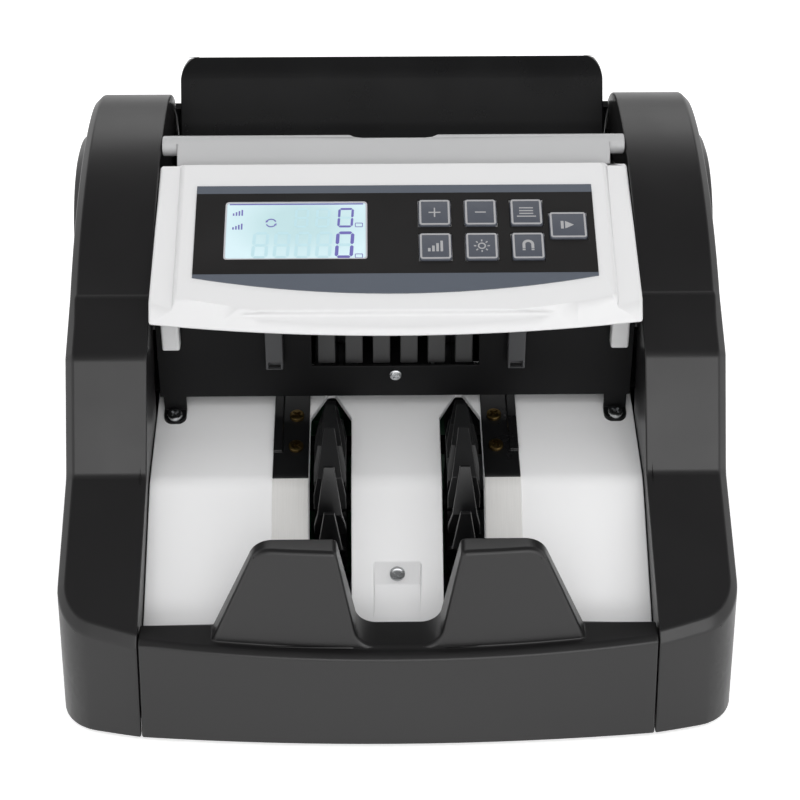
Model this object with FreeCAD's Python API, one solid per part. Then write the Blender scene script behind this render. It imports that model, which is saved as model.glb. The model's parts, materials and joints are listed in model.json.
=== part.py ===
import FreeCAD, Part
import cmath
import math
import os

# Banknote counting machine, in millimetres.
# X runs to the user's right, Y from the front to the rear and Z up from the table.
# The origin lies on the table, under the middle of the machine.

Vec = FreeCAD.Vector
X_WAY = Vec(1, 0, 0)
Y_WAY = Vec(0, 1, 0)
Z_WAY = Vec(0, 0, 1)
FAR = 400.0

# Covers: where their faces lie and how they lean and bow
SEAM_Y = -114.0
SEAM_X = 97.0
RIM_Z = 49.5
SKIRT_Z = 2.0
REAR_Y = 123.6
RIM_BOW = 9.9
SKIRT_BOW = 5.0
LEAN = 0.033
OUTER_X = 130.0
COVER_WALL = 2.5
SEAM_GAP = 0.3
FRONT_CORNER_R = 18.0
REAR_CORNER_R = 14.0
BAND_BEVEL = 3.2

# Side covers: the line of their top band, seen from the side
KNEE_Y = -59.0
KNEE_Z = 85.8
KNEE_R = 5.0
SHOULDER_Y = -42.0
SHOULDER_Z = 129.0
SHOULDER_R = 7.0
CREASE_Y = -20.0
CREASE_STEP = 1.3
PEAK_Y = 70.0
PEAK_Z = 181.0
ARCH_R = 128.0
LOBE_FRONT_Y = 24.0
LOBE_FOOT_Z = 28.0
LOBE_MARGIN = 13.0
LOBE_BEVEL = 5.0

# Front cover: ledge, ears and finger notch
LEDGE_REAR_Y = -104.0
RIM_BEVEL = 2.0
EAR_BASE_X = 69.4
EAR_TOP_X = 51.5
EAR_TOP_Z = 93.5
EAR_SETBACK = 4.7
EAR_THICKNESS = 9.5
EAR_TOP_R = 9.0
NOTCH_TOP_R = 2.5
EAR_BEVEL = 1.1
NOTCH_TOP_X = 22.5
NOTCH_FOOT_X = 14.8
NOTCH_Z = 50.6
NOTCH_R = 8.0

# Stacker plate: shelf, bend, front slope, wheel slots and screw pocket
BEND_BACK = 5.7
BEND_DROP = 6.6
BEND_R = 10.0
SHELF_RISE = 0.194
SHELF_REAR_Y = -4.0
PLATE_FOOT_DROP = 16.7
PLATE_T = 2.5
SLOT_W = 16.1
SLOT_POINT_Y = -5.5
SLOT_SHOULDER_Y = -19.0
SLOT_FOOT_Y = -88.0
POCKET_W = 18.0
POCKET_REAR_Y = -76.8
POCKET_DROP = 10.0
POCKET_FRONT_Y = -93.0

# Stacker wheels and the strips beside them
WHEEL_X = 25.7
WHEEL_W = 12.3
WHEEL_R = 40.0
WHEEL_BACK = 8.3
WHEEL_DROP = 15.7
WHEEL_HUB_R = 13.0
WHEEL_TIP_W = 3.2
FIN_COUNT = 14
FIN_T = 1.5
FIN_SWEEP = 66.0
FIN_POINT = 24.0
FIN_PHASE = -1.0
STRIP_INNER_X = 34.2
STRIP_W = 14.0
STRIP_T = 1.2
STRIP_RIB_W = 3.6
STRIP_RIB_H = 2.4
STRIP_REAR_BACK = 10.0
STRIP_RIB_STOP = 14.0
STRIP_JOINT_BACK = 0.7
STRIP_SCREW_X = 39.3
STRIP_SCREW_YS = (-19.9, -36.7)
WEAR_T = 0.8
WEAR_LENGTH = 54.0

# Throat plate, guide comb and sensor posts under the panel
THROAT_Y = -16.0
THROAT_T = 1.5
THROAT_GAP = 7.5
THROAT_TOP_Z = 136.0
THROAT_WINDOW_X = 33.0
THROAT_WINDOW_Z = 108.0
TAB_X = 88.0
TAB_W = 9.0
TAB_LENGTH = 8.0
COMB_RIBS = 6
COMB_PITCH = 10.9
RIB_W = 6.9
RIB_FOOT_Z = 106.5
COMB_BAR_Z = 124.0
COMB_BAR_H = 7.0
COMB_DEPTH = 12.0
BLOCK_X = 38.2
BLOCK_W = 8.6
BLOCK_FOOT_Z = 107.5
POST_X = 47.5
POST_W = 6.8
POST_DEPTH = 5.0
POST_FOOT_Z = 109.5
POST_WALL = 1.2

# Control panel, measured in its own slope: v runs up the slope, w out of it
PANEL_TILT = 22.2
PANEL_Z = 164.0
PANEL_LIP_Z = 139.3
PANEL_LIP_Y = -35.5
PANEL_LIP_BOW = 10.0
PANEL_LIP_LEAN = 0.4
PANEL_REAR_Y = 30.0
PANEL_WALL = 2.5
PILLOW_HALF = 84.0
PILLOW_H = 2.6
PILLOW_BEVEL = 1.6
OVERLAY_HALF = 77.2
OVERLAY_TOP_V = 18.0
OVERLAY_LOW_V = -27.4
OVERLAY_ARC = 8.0
OVERLAY_T = 0.5
DISPLAY_U = -38.2
DISPLAY_V = -4.4
DISPLAY_W = 55.2
DISPLAY_H = 28.9
KEY_W = 12.5
KEY_H = 13.1
KEY_COLUMNS = (15.4, 33.2, 51.0)
KEY_ROWS = (3.4, -13.4)
START_KEY_U = 66.9
START_KEY_V = -3.2
START_KEY_W = 14.5
KEY_RISE = 0.7
KEY_TRAVEL = 0.6
KEY_GAP = 0.3
BOARD_DEPTH = 10.5
BOARD_T = 1.6
BOARD_HALF = 78.0
LEG_X = 87.5
LEG_W = 7.0
LEG_Y = -22.0
LEG_D = 5.5
LEG_FOOT_Z = 119.0

# Note guide bar behind the panel
BAR_Y = 42.0
BAR_DROP = 4.6
BAR_CORE_R = 4.0
BAR_FACE_HALF = 86.3
BAR_FRONT_Y = 31.5
BAR_FRONT_DROP = 4.1
BAR_LIP = 3.0
BAR_NOTCH_HALF = 17.5
BAR_NOTCH_DEPTH = 5.0

# Hopper plate, drawn by points on its front face
HOPPER_HALF = 90.2
HOPPER_T = 2.5
HOPPER_TOP_Y = 110.8
HOPPER_RISE = 4.0
HOPPER_LIP_Y = 106.0
HOPPER_LIP_DROP = 5.8
HOPPER_BEND_Y = 95.0
HOPPER_BEND_DROP = 24.5
HOPPER_FOOT_Y = 66.0
HOPPER_FOOT_DROP = 64.0
HOPPER_CORNER_R = 8.5
HOPPER_BEND_R = 30.0

# Frame and base
FRAME_X = 101.0
FRAME_T = 2.0
FRAME_MARGIN = 9.0
FRAME_FRONT_Y = -90.0
FRAME_REAR_Y = 112.0
BASE_Z = 2.5
BASE_T = 2.0
BASE_CORNER_R = 20.0
BASE_GAP = 0.5
FOOT_R = 8.0
FOOT_X = 92.5
FOOT_FRONT_Y = -90.0
FOOT_REAR_Y = 104.0
ROD_FLAT = 3.5
ROD_SEAT_GAP = 0.05
HOPPER_ROD_REACH = 7.0
FRONT_ROD_AHEAD = 24.0
FRONT_ROD_RISE = 22.0
MIDDLE_ROD_AHEAD = 24.0
MIDDLE_ROD_RISE = 52.0
REAR_ROD_INSET = 10.0
REAR_ROD_RISE = 58.0

# Rollers and shafts of the note path
SHAFT_R = 4.0
BUSH_R = 6.0
BUSH_PROUD = 1.5
RUNNING_FIT = 0.05
NIP_Y = 28.0
NIP_Z = 93.0
NIP_GAP = 0.3
ROLLER_X = 25.0
DRIVE_R = 15.0
DRIVE_W = 16.0
PINCH_R = 8.0
PINCH_W = 12.0
PINCH_AXLE_R = 2.5
FEED_R = 17.0
FEED_W = 18.0
FEED_REACH = 15.3
KICK_X = 30.0
KICK_R = 14.0
KICK_W = 14.0
KICK_REACH = 18.6
KICK_POKE = 1.2
ROLLER_HUB_R = 8.0
GUIDE_T = 1.2
GUIDE_FRONT_Y = -3.2
GUIDE_STEP = 0.8
GUIDE_AHEAD = 6.0
GUIDE_DROP = 1.4
GUIDE_BACK = 18.0
GUIDE_RISE = 5.0
GUIDE_BEND_R = 20.0

# Stripper block and its gap screw
STRIPPER_R = 7.0
STRIPPER_W = 16.0
STRIPPER_GAP = 0.8
STRIPPER_HALF = 36.0
STRIPPER_H = 12.0
STRIPPER_D = 14.0
BRIDGE_RISE = 12.0
BRIDGE_H = 8.0
GAP_SCREW_R = 2.5
SCREW_FOOT_Z = 7.0
GUIDE_PIN_R = 2.0
GUIDE_PIN_X = 26.0
KNOB_R = 7.0
KNOB_H = 10.0
KNOB_RISE = 9.0
KNOB_FLUTES = 12

# Motor, belts and pulleys
MOTOR_Y = 75.0
MOTOR_Z = 40.0
MOTOR_R = 26.0
MOTOR_L = 58.0
MOTOR_BOSS_R = 8.0
MOTOR_SHAFT_R = 3.0
BELT_W = 5.0
BELT_T = 1.5
BELT_GAP = 0.3
BELT_MARGIN = 1.2
PULLEY_SPACE = 0.6
MOTOR_PULLEY_R = 8.0
DRIVE_PULLEY_R = 14.0
FEED_DRIVER_R = 9.0
FEED_PULLEY_R = 15.0
KICK_DRIVER_R = 12.0
KICK_PULLEY_R = 10.0
STACK_DRIVER_R = 7.0
STACK_PULLEY_R = 20.0

# Rear: cover, inlet and switch
REAR_SETIN = 2.0
REAR_WALL = 2.5
INLET_X = -68.0
INLET_Z = 32.0
INLET_W = 27.0
INLET_H = 20.0
INLET_RIM = 2.5
INLET_D = 22.0
SWITCH_X = -32.0
SWITCH_W = 13.0
SWITCH_H = 19.0
SWITCH_D = 14.0
SWITCH_GAP = 0.35
VENT_COUNT = 9
VENT_W = 3.0
VENT_H = 26.0
VENT_PITCH = 8.0
VENT_X = 45.0
VENT_Z = 70.0
SCREW_R = 2.6
SCREW_H = 1.6
COVER_SCREW_X = 84.0
COVER_SCREW_ZS = (16.0, 112.0)

# Main board on the base
PCB_X0 = -92.0
PCB_X1 = 24.0
PCB_Y0 = -24.0
PCB_Y1 = 96.0
PCB_LIFT = 6.0
PCB_T = 1.6
PILLAR_R = 3.0
PILLAR_INSET = 8.0
CORE_W = 46.0
CORE_D = 38.0
CORE_H = 34.0


# Flat outlines and the solids drawn from them

def on_yz(x):
    """Places (y, z) pairs on the upright plane at x."""
    return lambda p: Vec(x, p[0], p[1])


def on_xz(y):
    """Places (x, z) pairs on the upright plane at y."""
    return lambda p: Vec(p[0], y, p[1])


def on_xy(z):
    """Places (x, y) pairs on the level plane at z."""
    return lambda p: Vec(p[0], p[1], z)


def pair(number):
    return (number.real, number.imag)


def corner_arc(before, corner, after, radius):
    """Start, middle and end of the arc that rounds one corner of a flat path."""
    here = complex(*corner)
    back = complex(*before) - here
    ahead = complex(*after) - here
    back /= abs(back)
    ahead /= abs(ahead)
    half = abs(cmath.phase(ahead / back)) / 2
    reach = radius / math.tan(half)
    inward = (back + ahead) / abs(back + ahead)
    middle = here + inward * (radius / math.sin(half) - radius)
    return [pair(here + back * reach), pair(middle), pair(here + ahead * reach)]


def outline(points, radii, place):
    """Closed wire through the points, with corners rounded where a radius is given."""
    count = len(points)
    if not isinstance(radii, (list, tuple)):
        radii = [radii] * count
    stops = []
    for i, point in enumerate(points):
        if radii[i]:
            stops.append(corner_arc(points[i - 1], point, points[(i + 1) % count], radii[i]))
        else:
            stops.append([point])
    edges = []
    for i, stop in enumerate(stops):
        if len(stop) == 3:
            edges.append(Part.Arc(*[place(p) for p in stop]).toShape())
        edges.append(Part.makeLine(place(stop[-1]), place(stops[(i + 1) % count][0])))
    return Part.Wire(edges)


def solid_x(points, x0, x1, radii=0):
    return Part.Face(outline(points, radii, on_yz(x0))).extrude(X_WAY * (x1 - x0))


def solid_y(points, y0, y1, radii=0):
    return Part.Face(outline(points, radii, on_xz(y0))).extrude(Y_WAY * (y1 - y0))


def solid_z(points, z0, z1, radii=0):
    return Part.Face(outline(points, radii, on_xy(z0))).extrude(Z_WAY * (z1 - z0))


def block(x0, x1, y0, y1, z0, z1):
    return Part.makeBox(x1 - x0, y1 - y0, z1 - z0, Vec(x0, y0, z0))


def rod(radius, centre, x0, x1):
    """Cylinder along X about a (y, z) centre."""
    return Part.makeCylinder(radius, x1 - x0, Vec(x0, centre[0], centre[1]), X_WAY)


def hexagon(radius, centre):
    """Corners of a six-sided outline about a centre, with the radius to its flats."""
    reach = radius / math.cos(math.pi / 6)
    return [pair(complex(*centre) + cmath.rect(reach, math.pi * i / 3)) for i in range(6)]


def ring(outer, inner, centre, x0, x1):
    return rod(outer, centre, x0, x1).cut(rod(inner, centre, x0, x1))


def join(shapes):
    """One solid out of touching or overlapping solids."""
    return shapes[0].multiFuse(shapes[1:]).removeSplitter() if len(shapes) > 1 else shapes[0]


def mirrored(shape):
    return shape.mirror(Vec(0, 0, 0), X_WAY)


def both_sides(shape):
    """A right-hand solid and its left-hand twin, as a group of two."""
    return Part.makeCompound([shape, mirrored(shape)])


def beside(points, thickness):
    """The path moved to its right-hand side by a thickness."""
    numbers = [complex(*p) for p in points]
    moved = []
    for i, here in enumerate(numbers):
        ways = []
        if i > 0:
            ways.append((here - numbers[i - 1]) / abs(here - numbers[i - 1]))
        if i + 1 < len(numbers):
            ways.append((numbers[i + 1] - here) / abs(numbers[i + 1] - here))
        normals = [-1j * way for way in ways]
        bisector = sum(normals) / abs(sum(normals))
        spread = (bisector * normals[0].conjugate()).real
        moved.append(pair(here + bisector * thickness / spread))
    return moved


def bent_sheet(points, thickness, bend, x0, x1):
    """Sheet of even thickness on the right-hand side of a (y, z) path."""
    under = beside(points, thickness)
    top_radii = [0.0] * len(points)
    low_radii = [0.0] * len(points)
    for i in range(1, len(points) - 1):
        back = complex(*points[i]) - complex(*points[i - 1])
        ahead = complex(*points[i + 1]) - complex(*points[i])
        turns_right = (ahead / back).imag < 0
        top_radii[i] = bend + thickness if turns_right else bend
        low_radii[i] = bend if turns_right else bend + thickness
    return solid_x(points + under[::-1], x0, x1, top_radii + low_radii[::-1])


def along(start, way, distance, sideways=0.0):
    """Point at a distance along a way from a start, moved to the left of that way."""
    step = complex(*way) / abs(complex(*way))
    return pair(complex(*start) + step * distance + 1j * step * sideways)


# Lines that several pieces share

BOW_R = (SEAM_X ** 2 + RIM_BOW ** 2) / (2 * RIM_BOW)
BOW_Y = SEAM_Y - RIM_BOW + BOW_R
BAND_SLOPE = (KNEE_Z - RIM_Z) / (KNEE_Y - SEAM_Y)
BEND_Y = KNEE_Y + BEND_BACK
BEND_Z = KNEE_Z - BEND_DROP
PLATE_FOOT_Y = LEDGE_REAR_Y + SEAM_GAP
PLATE_FOOT_Z = RIM_Z - PLATE_FOOT_DROP
WHEEL_AXIS = (BEND_Y + WHEEL_BACK, BEND_Z - WHEEL_DROP)
SHELF_STEEP = math.hypot(1, SHELF_RISE)
SHELF_NORMAL = (0, -SHELF_RISE / SHELF_STEEP, 1 / SHELF_STEEP)
HOPPER_TOP_Z = PEAK_Z + HOPPER_RISE
HOPPER_LIP_Z = HOPPER_TOP_Z - HOPPER_LIP_DROP
HOPPER_BEND_Z = HOPPER_TOP_Z - HOPPER_BEND_DROP
HOPPER_FOOT_Z = HOPPER_TOP_Z - HOPPER_FOOT_DROP
BAR_Z = PEAK_Z - BAR_DROP
BAR_FRONT_Z = BAR_Z - BAR_FRONT_DROP
BASE_TOP = BASE_Z + BASE_T
FRAME_OUT = FRAME_X + FRAME_T
ROD_R = ROD_FLAT / math.cos(math.pi / 6)


def arch_z(y):
    return PEAK_Z - ARCH_R + math.sqrt(ARCH_R ** 2 - (y - PEAK_Y) ** 2)


def inner_x(z):
    """Leaning inside face of the right cover."""
    return SEAM_X - LEAN * (z - RIM_Z)


def outer_x(z):
    """Leaning outside face of the right cover."""
    return OUTER_X - LEAN * (z - SKIRT_Z)


def shelf_z(y):
    return BEND_Z + SHELF_RISE * (y - BEND_Y)


def slope_z(y):
    return BEND_Z + (BEND_Z - PLATE_FOOT_Z) / (BEND_Y - PLATE_FOOT_Y) * (y - BEND_Y)


def between_covers(gap):
    """Everything between the leaning inside faces of the two covers, less a gap."""
    low = -FAR / 4
    high = FAR
    half_low = inner_x(low) - gap
    half_high = inner_x(high) - gap
    return solid_y([(-half_low, low), (half_low, low), (half_high, high), (-half_high, high)], -FAR, FAR)


# Covers

def cover_ring(inset, level):
    """Outline of the right cover at one level, seen from above; an inset one has plain corners."""
    inner = inner_x(level) + inset
    outer = outer_x(level) - inset
    bow = BOW_R - inset
    front_r = FRONT_CORNER_R - inset
    rear_r = REAR_CORNER_R - inset
    rear = REAR_Y - inset
    lean = outer - outer_x(RIM_Z) + inset

    def bow_point(x):
        return (x, BOW_Y - math.sqrt(bow ** 2 - (x - lean) ** 2))

    corner_x = outer - front_r
    corner_y = BOW_Y - math.sqrt((bow - front_r) ** 2 - (corner_x - lean) ** 2)
    stretch = bow / (bow - front_r)
    leave = (lean + (corner_x - lean) * stretch, BOW_Y + (corner_y - BOW_Y) * stretch)
    turn = math.atan2(leave[1] - corner_y, leave[0] - corner_x) / 2
    middle = (corner_x + front_r * math.cos(turn), corner_y + front_r * math.sin(turn))
    side_front = (outer, corner_y)
    rear_corner = corner_arc(side_front, (outer, rear), (inner, rear), rear_r)
    start = bow_point(inner)
    place = on_xy(level)
    if inset:
        stops = [start, leave, side_front, rear_corner[0], rear_corner[2], (inner, rear), start]
        return Part.makePolygon([place(p) for p in stops])
    return Part.Wire([
        Part.Arc(place(start), place(bow_point((inner + leave[0]) / 2)), place(leave)).toShape(),
        Part.Arc(place(leave), place(middle), place(side_front)).toShape(),
        Part.makeLine(place(side_front), place(rear_corner[0])),
        Part.Arc(*[place(p) for p in rear_corner]).toShape(),
        Part.makeLine(place(rear_corner[2]), place((inner, rear))),
        Part.makeLine(place((inner, rear)), place(start)),
    ])


def cover_plan(inset, floor):
    """Right cover drawn up along the lean of its sides."""
    return Part.makeLoft([cover_ring(inset, floor), cover_ring(inset, PEAK_Z + 1)], True, True)


def band_solid(inset):
    """Everything under the band of the side covers, less an inset."""
    ahead = -FAR / 2
    low = -FAR / 4
    front = (ahead, RIM_Z + BAND_SLOPE * (ahead - SEAM_Y))
    knee = corner_arc(front, (KNEE_Y, KNEE_Z), (SHOULDER_Y, SHOULDER_Z), KNEE_R)
    crease = (CREASE_Y, arch_z(CREASE_Y))
    shoulder = corner_arc((KNEE_Y, KNEE_Z), (SHOULDER_Y, SHOULDER_Z), crease, SHOULDER_R)
    arch_middle = (CREASE_Y + PEAK_Y) / 2
    peak = (PEAK_Y, PEAK_Z)
    rear_r = REAR_Y - PEAK_Y
    rear_z = PEAK_Z - rear_r
    lean_back = rear_r * math.sqrt(0.5)
    place = on_yz(0)
    edges = [
        Part.makeLine(place((ahead, low)), place(front)),
        Part.makeLine(place(front), place(knee[0])),
        Part.Arc(*[place(p) for p in knee]).toShape(),
        Part.makeLine(place(knee[2]), place(shoulder[0])),
        Part.Arc(*[place(p) for p in shoulder]).toShape(),
        Part.makeLine(place(shoulder[2]), place(crease)),
        Part.Arc(place(crease), place((arch_middle, arch_z(arch_middle))), place(peak)).toShape(),
        Part.Arc(place(peak), place((PEAK_Y + lean_back, rear_z + lean_back)),
                 place((REAR_Y, rear_z))).toShape(),
        Part.makeLine(place((REAR_Y, rear_z)), place((REAR_Y, low))),
        Part.makeLine(place((REAR_Y, low)), place((ahead, low))),
    ]
    wire = Part.Wire(edges)
    if inset:
        wire = wire.makeOffset2D(-inset, 2)
    return Part.Face(wire).extrude(X_WAY * FAR / 2)


def band_edges(shape):
    """The outer line of the band, from the front rim round to the rear."""
    chosen = []
    for edge in shape.Edges:
        box = edge.BoundBox
        middle = edge.valueAt((edge.FirstParameter + edge.LastParameter) / 2)
        above_skirt = box.ZMin > SKIRT_Z + 1
        on_side = abs(middle.x - outer_x(middle.z)) < 0.05
        on_rim = box.YMax < SEAM_Y + 2 * FRONT_CORNER_R and box.XLength > BAND_BEVEL
        if above_skirt and (on_side or on_rim):
            chosen.append(edge)
    return chosen


def lobe():
    """Shallow swelling on the outside of the right cover."""
    rear = REAR_Y - LOBE_MARGIN
    top = PEAK_Z - LOBE_MARGIN
    big = REAR_Y - PEAK_Y - LOBE_MARGIN
    small = 2 * LOBE_BEVEL + 6.0

    def ring_at(x, inset):
        points = [(LOBE_FRONT_Y + inset, LOBE_FOOT_Z + inset), (rear - inset, LOBE_FOOT_Z + inset),
                  (rear - inset, top - inset), (LOBE_FRONT_Y + inset, top - inset)]
        return outline(points, [small - inset, small - inset, big - inset, big - inset], on_yz(x))

    depth = outer_x(LOBE_FOOT_Z) - outer_x(top) + 2 * COVER_WALL
    inside = OUTER_X - depth
    body = Part.makeLoft([ring_at(inside, -LOBE_BEVEL / 2), ring_at(OUTER_X, LOBE_BEVEL)], True, True)
    inner = outer_x(SKIRT_Z) - COVER_WALL / 2
    skin = solid_y([(inner, SKIRT_Z), (OUTER_X + 1, SKIRT_Z), (OUTER_X + 1, FAR),
                    (inner - LEAN * (FAR - SKIRT_Z), FAR)], -FAR, FAR)
    return body.common(skin)


def works_window():
    """Side view of the space behind and under the bay, where the covers have no inside wall."""
    rim = 0.5
    throat = THROAT_Y - 1.0
    front = SEAM_Y + COVER_WALL + 1.0
    deep = PLATE_T + 2 * rim
    panel_foot = PANEL_LIP_Z - 3.0
    hopper_low = PANEL_LIP_Z + 11.0
    rear = REAR_Y - COVER_WALL
    points = [(front, -FAR / 4), (front, PLATE_FOOT_Z - deep - 3.0), (PLATE_FOOT_Y, PLATE_FOOT_Z - deep),
              (BEND_Y, BEND_Z - deep), (throat, shelf_z(throat) - deep), (throat, panel_foot),
              (PANEL_REAR_Y, hopper_low), (FRAME_REAR_Y, hopper_low), (rear, PEAK_Z - (REAR_Y - PEAK_Y)),
              (rear, -FAR / 4)]
    return solid_x(points, 0, inner_x(SKIRT_Z) + COVER_WALL + rim)


def crease_wedge():
    """Thin wedge whose removal leaves a small step across the band at the crease."""
    crease = (CREASE_Y, arch_z(CREASE_Y))
    way = (crease[0] - SHOULDER_Y, crease[1] - SHOULDER_Z)
    start = along((SHOULDER_Y, SHOULDER_Z), way, 2 * SHOULDER_R)
    above = along((SHOULDER_Y, SHOULDER_Z), way, 2 * SHOULDER_R, 4 * CREASE_STEP)
    low = (crease[0] - CREASE_STEP / 2, crease[1] - CREASE_STEP)
    high = (crease[0] + CREASE_STEP, crease[1] + 2 * CREASE_STEP)
    return solid_x([start, low, high, above], 0, FAR)


def right_side_cover():
    shell = cover_plan(0, SKIRT_Z).common(band_solid(0))
    shell = shell.makeChamfer(BAND_BEVEL, band_edges(shell))
    shell = shell.cut(crease_wedge()).fuse(lobe())
    core = cover_plan(COVER_WALL, SKIRT_Z - COVER_WALL).common(band_solid(COVER_WALL))
    rod_room = rod(ROD_R + SEAM_GAP, rod_places()[0], 0, FRAME_X)
    return shell.cut(core).cut(works_window()).cut(rod_room)


def front_section(z, bow, inset):
    """Front cover at one height: a bowed front and a straight rear."""
    half = inner_x(z) - SEAM_GAP - inset
    front = SEAM_Y + inset
    rear = LEDGE_REAR_Y - inset
    place = on_xy(z)
    edges = [
        Part.Arc(place((-half, front)), place((0, front - bow)), place((half, front))).toShape(),
        Part.makeLine(place((half, front)), place((half, rear))),
        Part.makeLine(place((half, rear)), place((-half, rear))),
        Part.makeLine(place((-half, rear)), place((-half, front))),
    ]
    return Part.Wire(edges)


def front_ears():
    """Two ears on one foot, with the finger notch between them."""
    foot = RIM_Z - COVER_WALL / 2
    lean = (EAR_BASE_X - EAR_TOP_X) / (EAR_TOP_Z - RIM_Z)
    base = EAR_BASE_X + lean * (RIM_Z - foot)
    points = [(-base, foot), (base, foot), (EAR_TOP_X, EAR_TOP_Z), (NOTCH_TOP_X, EAR_TOP_Z),
              (NOTCH_FOOT_X, NOTCH_Z), (-NOTCH_FOOT_X, NOTCH_Z), (-NOTCH_TOP_X, EAR_TOP_Z),
              (-EAR_TOP_X, EAR_TOP_Z)]
    ears = solid_y(points, SEAM_Y - 2 * RIM_BOW, LEDGE_REAR_Y,
                   [0, 0, EAR_TOP_R, NOTCH_TOP_R, NOTCH_R, NOTCH_R, NOTCH_TOP_R, EAR_TOP_R])
    round_front = Part.makeCylinder(BOW_R - EAR_SETBACK, FAR, Vec(0, BOW_Y, -FAR / 4))
    ears = ears.common(round_front)
    ear_front = SEAM_Y - RIM_BOW + EAR_SETBACK
    top_rear = ear_front + EAR_THICKNESS
    taper = solid_x([(LEDGE_REAR_Y, RIM_Z), (top_rear, EAR_TOP_Z), (top_rear, FAR),
                     (0, FAR), (0, RIM_Z)], -FAR, FAR)
    ears = ears.cut(taper)
    crest = [edge for edge in ears.Edges if is_ear_crest(edge)]
    return ears.makeChamfer(EAR_BEVEL, crest)


def is_ear_crest(edge):
    """True along the front line of the ears, above the ledge."""
    middle = edge.valueAt((edge.FirstParameter + edge.LastParameter) / 2)
    reach = math.hypot(middle.x, middle.y - BOW_Y)
    on_front = abs(reach - (BOW_R - EAR_SETBACK)) < 0.01
    return on_front and edge.BoundBox.ZMax > NOTCH_Z - 0.1 and middle.z > RIM_Z


def front_cover():
    body = Part.makeLoft([front_section(SKIRT_Z, SKIRT_BOW, 0), front_section(RIM_Z, RIM_BOW, 0)], True, True)
    rim = [e for e in body.Edges if e.BoundBox.ZMin > RIM_Z - 0.1 and e.BoundBox.YMin < SEAM_Y - 1]
    body = body.makeChamfer(RIM_BEVEL, rim)
    core = Part.makeLoft([front_section(SKIRT_Z - 1, SKIRT_BOW, COVER_WALL),
                          front_section(RIM_Z - COVER_WALL, RIM_BOW, COVER_WALL)], True, True)
    return body.fuse(front_ears()).cut(core).removeSplitter()


def hopper_back(z):
    """Rear face of the hopper plate at a height above its bend."""
    way = (HOPPER_LIP_Y - HOPPER_BEND_Y) / (HOPPER_LIP_Z - HOPPER_BEND_Z)
    return HOPPER_BEND_Y + way * (z - HOPPER_BEND_Z) + HOPPER_T * math.hypot(1, way)


def rear_cover():
    """Back panel that curls over the top to meet the hopper plate."""
    face = REAR_Y - REAR_SETIN
    outer_r = face - PEAK_Y
    inner_r = outer_r - REAR_WALL
    level = PEAK_Z - (REAR_Y - PEAK_Y)
    curl = solid_x([(PEAK_Y, level), (face, level), (face, PEAK_Z), (PEAK_Y, PEAK_Z)], -FAR, FAR)
    curl = curl.common(ring(outer_r, inner_r, (PEAK_Y, level), -FAR, FAR))
    low_z = HOPPER_BEND_Z - 40
    high_z = HOPPER_LIP_Z + 20
    clear = 2 * SEAM_GAP
    front = solid_x([(hopper_back(low_z) + clear, low_z), (0, low_z), (0, high_z),
                     (hopper_back(high_z) + clear, high_z)], -FAR, FAR)
    panel = block(-FAR, FAR, face - REAR_WALL, face, SKIRT_Z, level)
    cover = join([panel, curl.cut(front)]).common(between_covers(SEAM_GAP))
    cuts = [block(INLET_X - INLET_W / 2, INLET_X + INLET_W / 2, 0, FAR,
                  INLET_Z - INLET_H / 2, INLET_Z + INLET_H / 2),
            block(SWITCH_X - SWITCH_W / 2, SWITCH_X + SWITCH_W / 2, 0, FAR,
                  INLET_Z - SWITCH_H / 2, INLET_Z + SWITCH_H / 2)]
    for i in range(VENT_COUNT):
        x = VENT_X + (i - (VENT_COUNT - 1) / 2) * VENT_PITCH
        cuts.append(block(x - VENT_W / 2, x + VENT_W / 2, PEAK_Y, FAR, VENT_Z - VENT_H / 2, VENT_Z + VENT_H / 2))
    return cover.cut(Part.makeCompound(cuts))


# Stacker bay

def stacker_plate():
    rear = (SHELF_REAR_Y, shelf_z(SHELF_REAR_Y))
    foot = (PLATE_FOOT_Y, PLATE_FOOT_Z)
    bend = (BEND_Y, BEND_Z)
    plate = bent_sheet([foot, bend, rear], PLATE_T, BEND_R, -FAR / 2, FAR / 2)
    pocket_z = slope_z(POCKET_REAR_Y)
    floor_rear = (POCKET_REAR_Y - 1.7, pocket_z - POCKET_DROP)
    floor_front = (POCKET_FRONT_Y, slope_z(POCKET_FRONT_Y))
    half = POCKET_W / 2
    wall = PLATE_T * 0.8
    cup = solid_x([(POCKET_REAR_Y + wall, slope_z(POCKET_REAR_Y + wall) - PLATE_T / 2),
                   (floor_rear[0] + wall, floor_rear[1] - wall),
                   (floor_front[0] - wall, floor_front[1] - 1.6 * wall),
                   (floor_front[0] - wall, slope_z(floor_front[0] - wall) - PLATE_T / 2)],
                  -half - wall, half + wall)
    rise = 2 * PLATE_T
    hollow = solid_x([(POCKET_REAR_Y, pocket_z), floor_rear, floor_front,
                      (floor_front[0], floor_front[1] + rise), (POCKET_REAR_Y, pocket_z + rise)], -half, half)
    plate = plate.fuse(cup).cut(hollow)
    slot_half = SLOT_W / 2
    slot = solid_z([(WHEEL_X - slot_half, SLOT_FOOT_Y), (WHEEL_X + slot_half, SLOT_FOOT_Y),
                    (WHEEL_X + slot_half, SLOT_SHOULDER_Y), (WHEEL_X + 1.4, SLOT_POINT_Y),
                    (WHEEL_X - 1.4, SLOT_POINT_Y), (WHEEL_X - slot_half, SLOT_SHOULDER_Y)], 0, FAR)
    plate = plate.cut(slot).cut(mirrored(slot))
    return plate.common(between_covers(SEAM_GAP)).removeSplitter()


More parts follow.
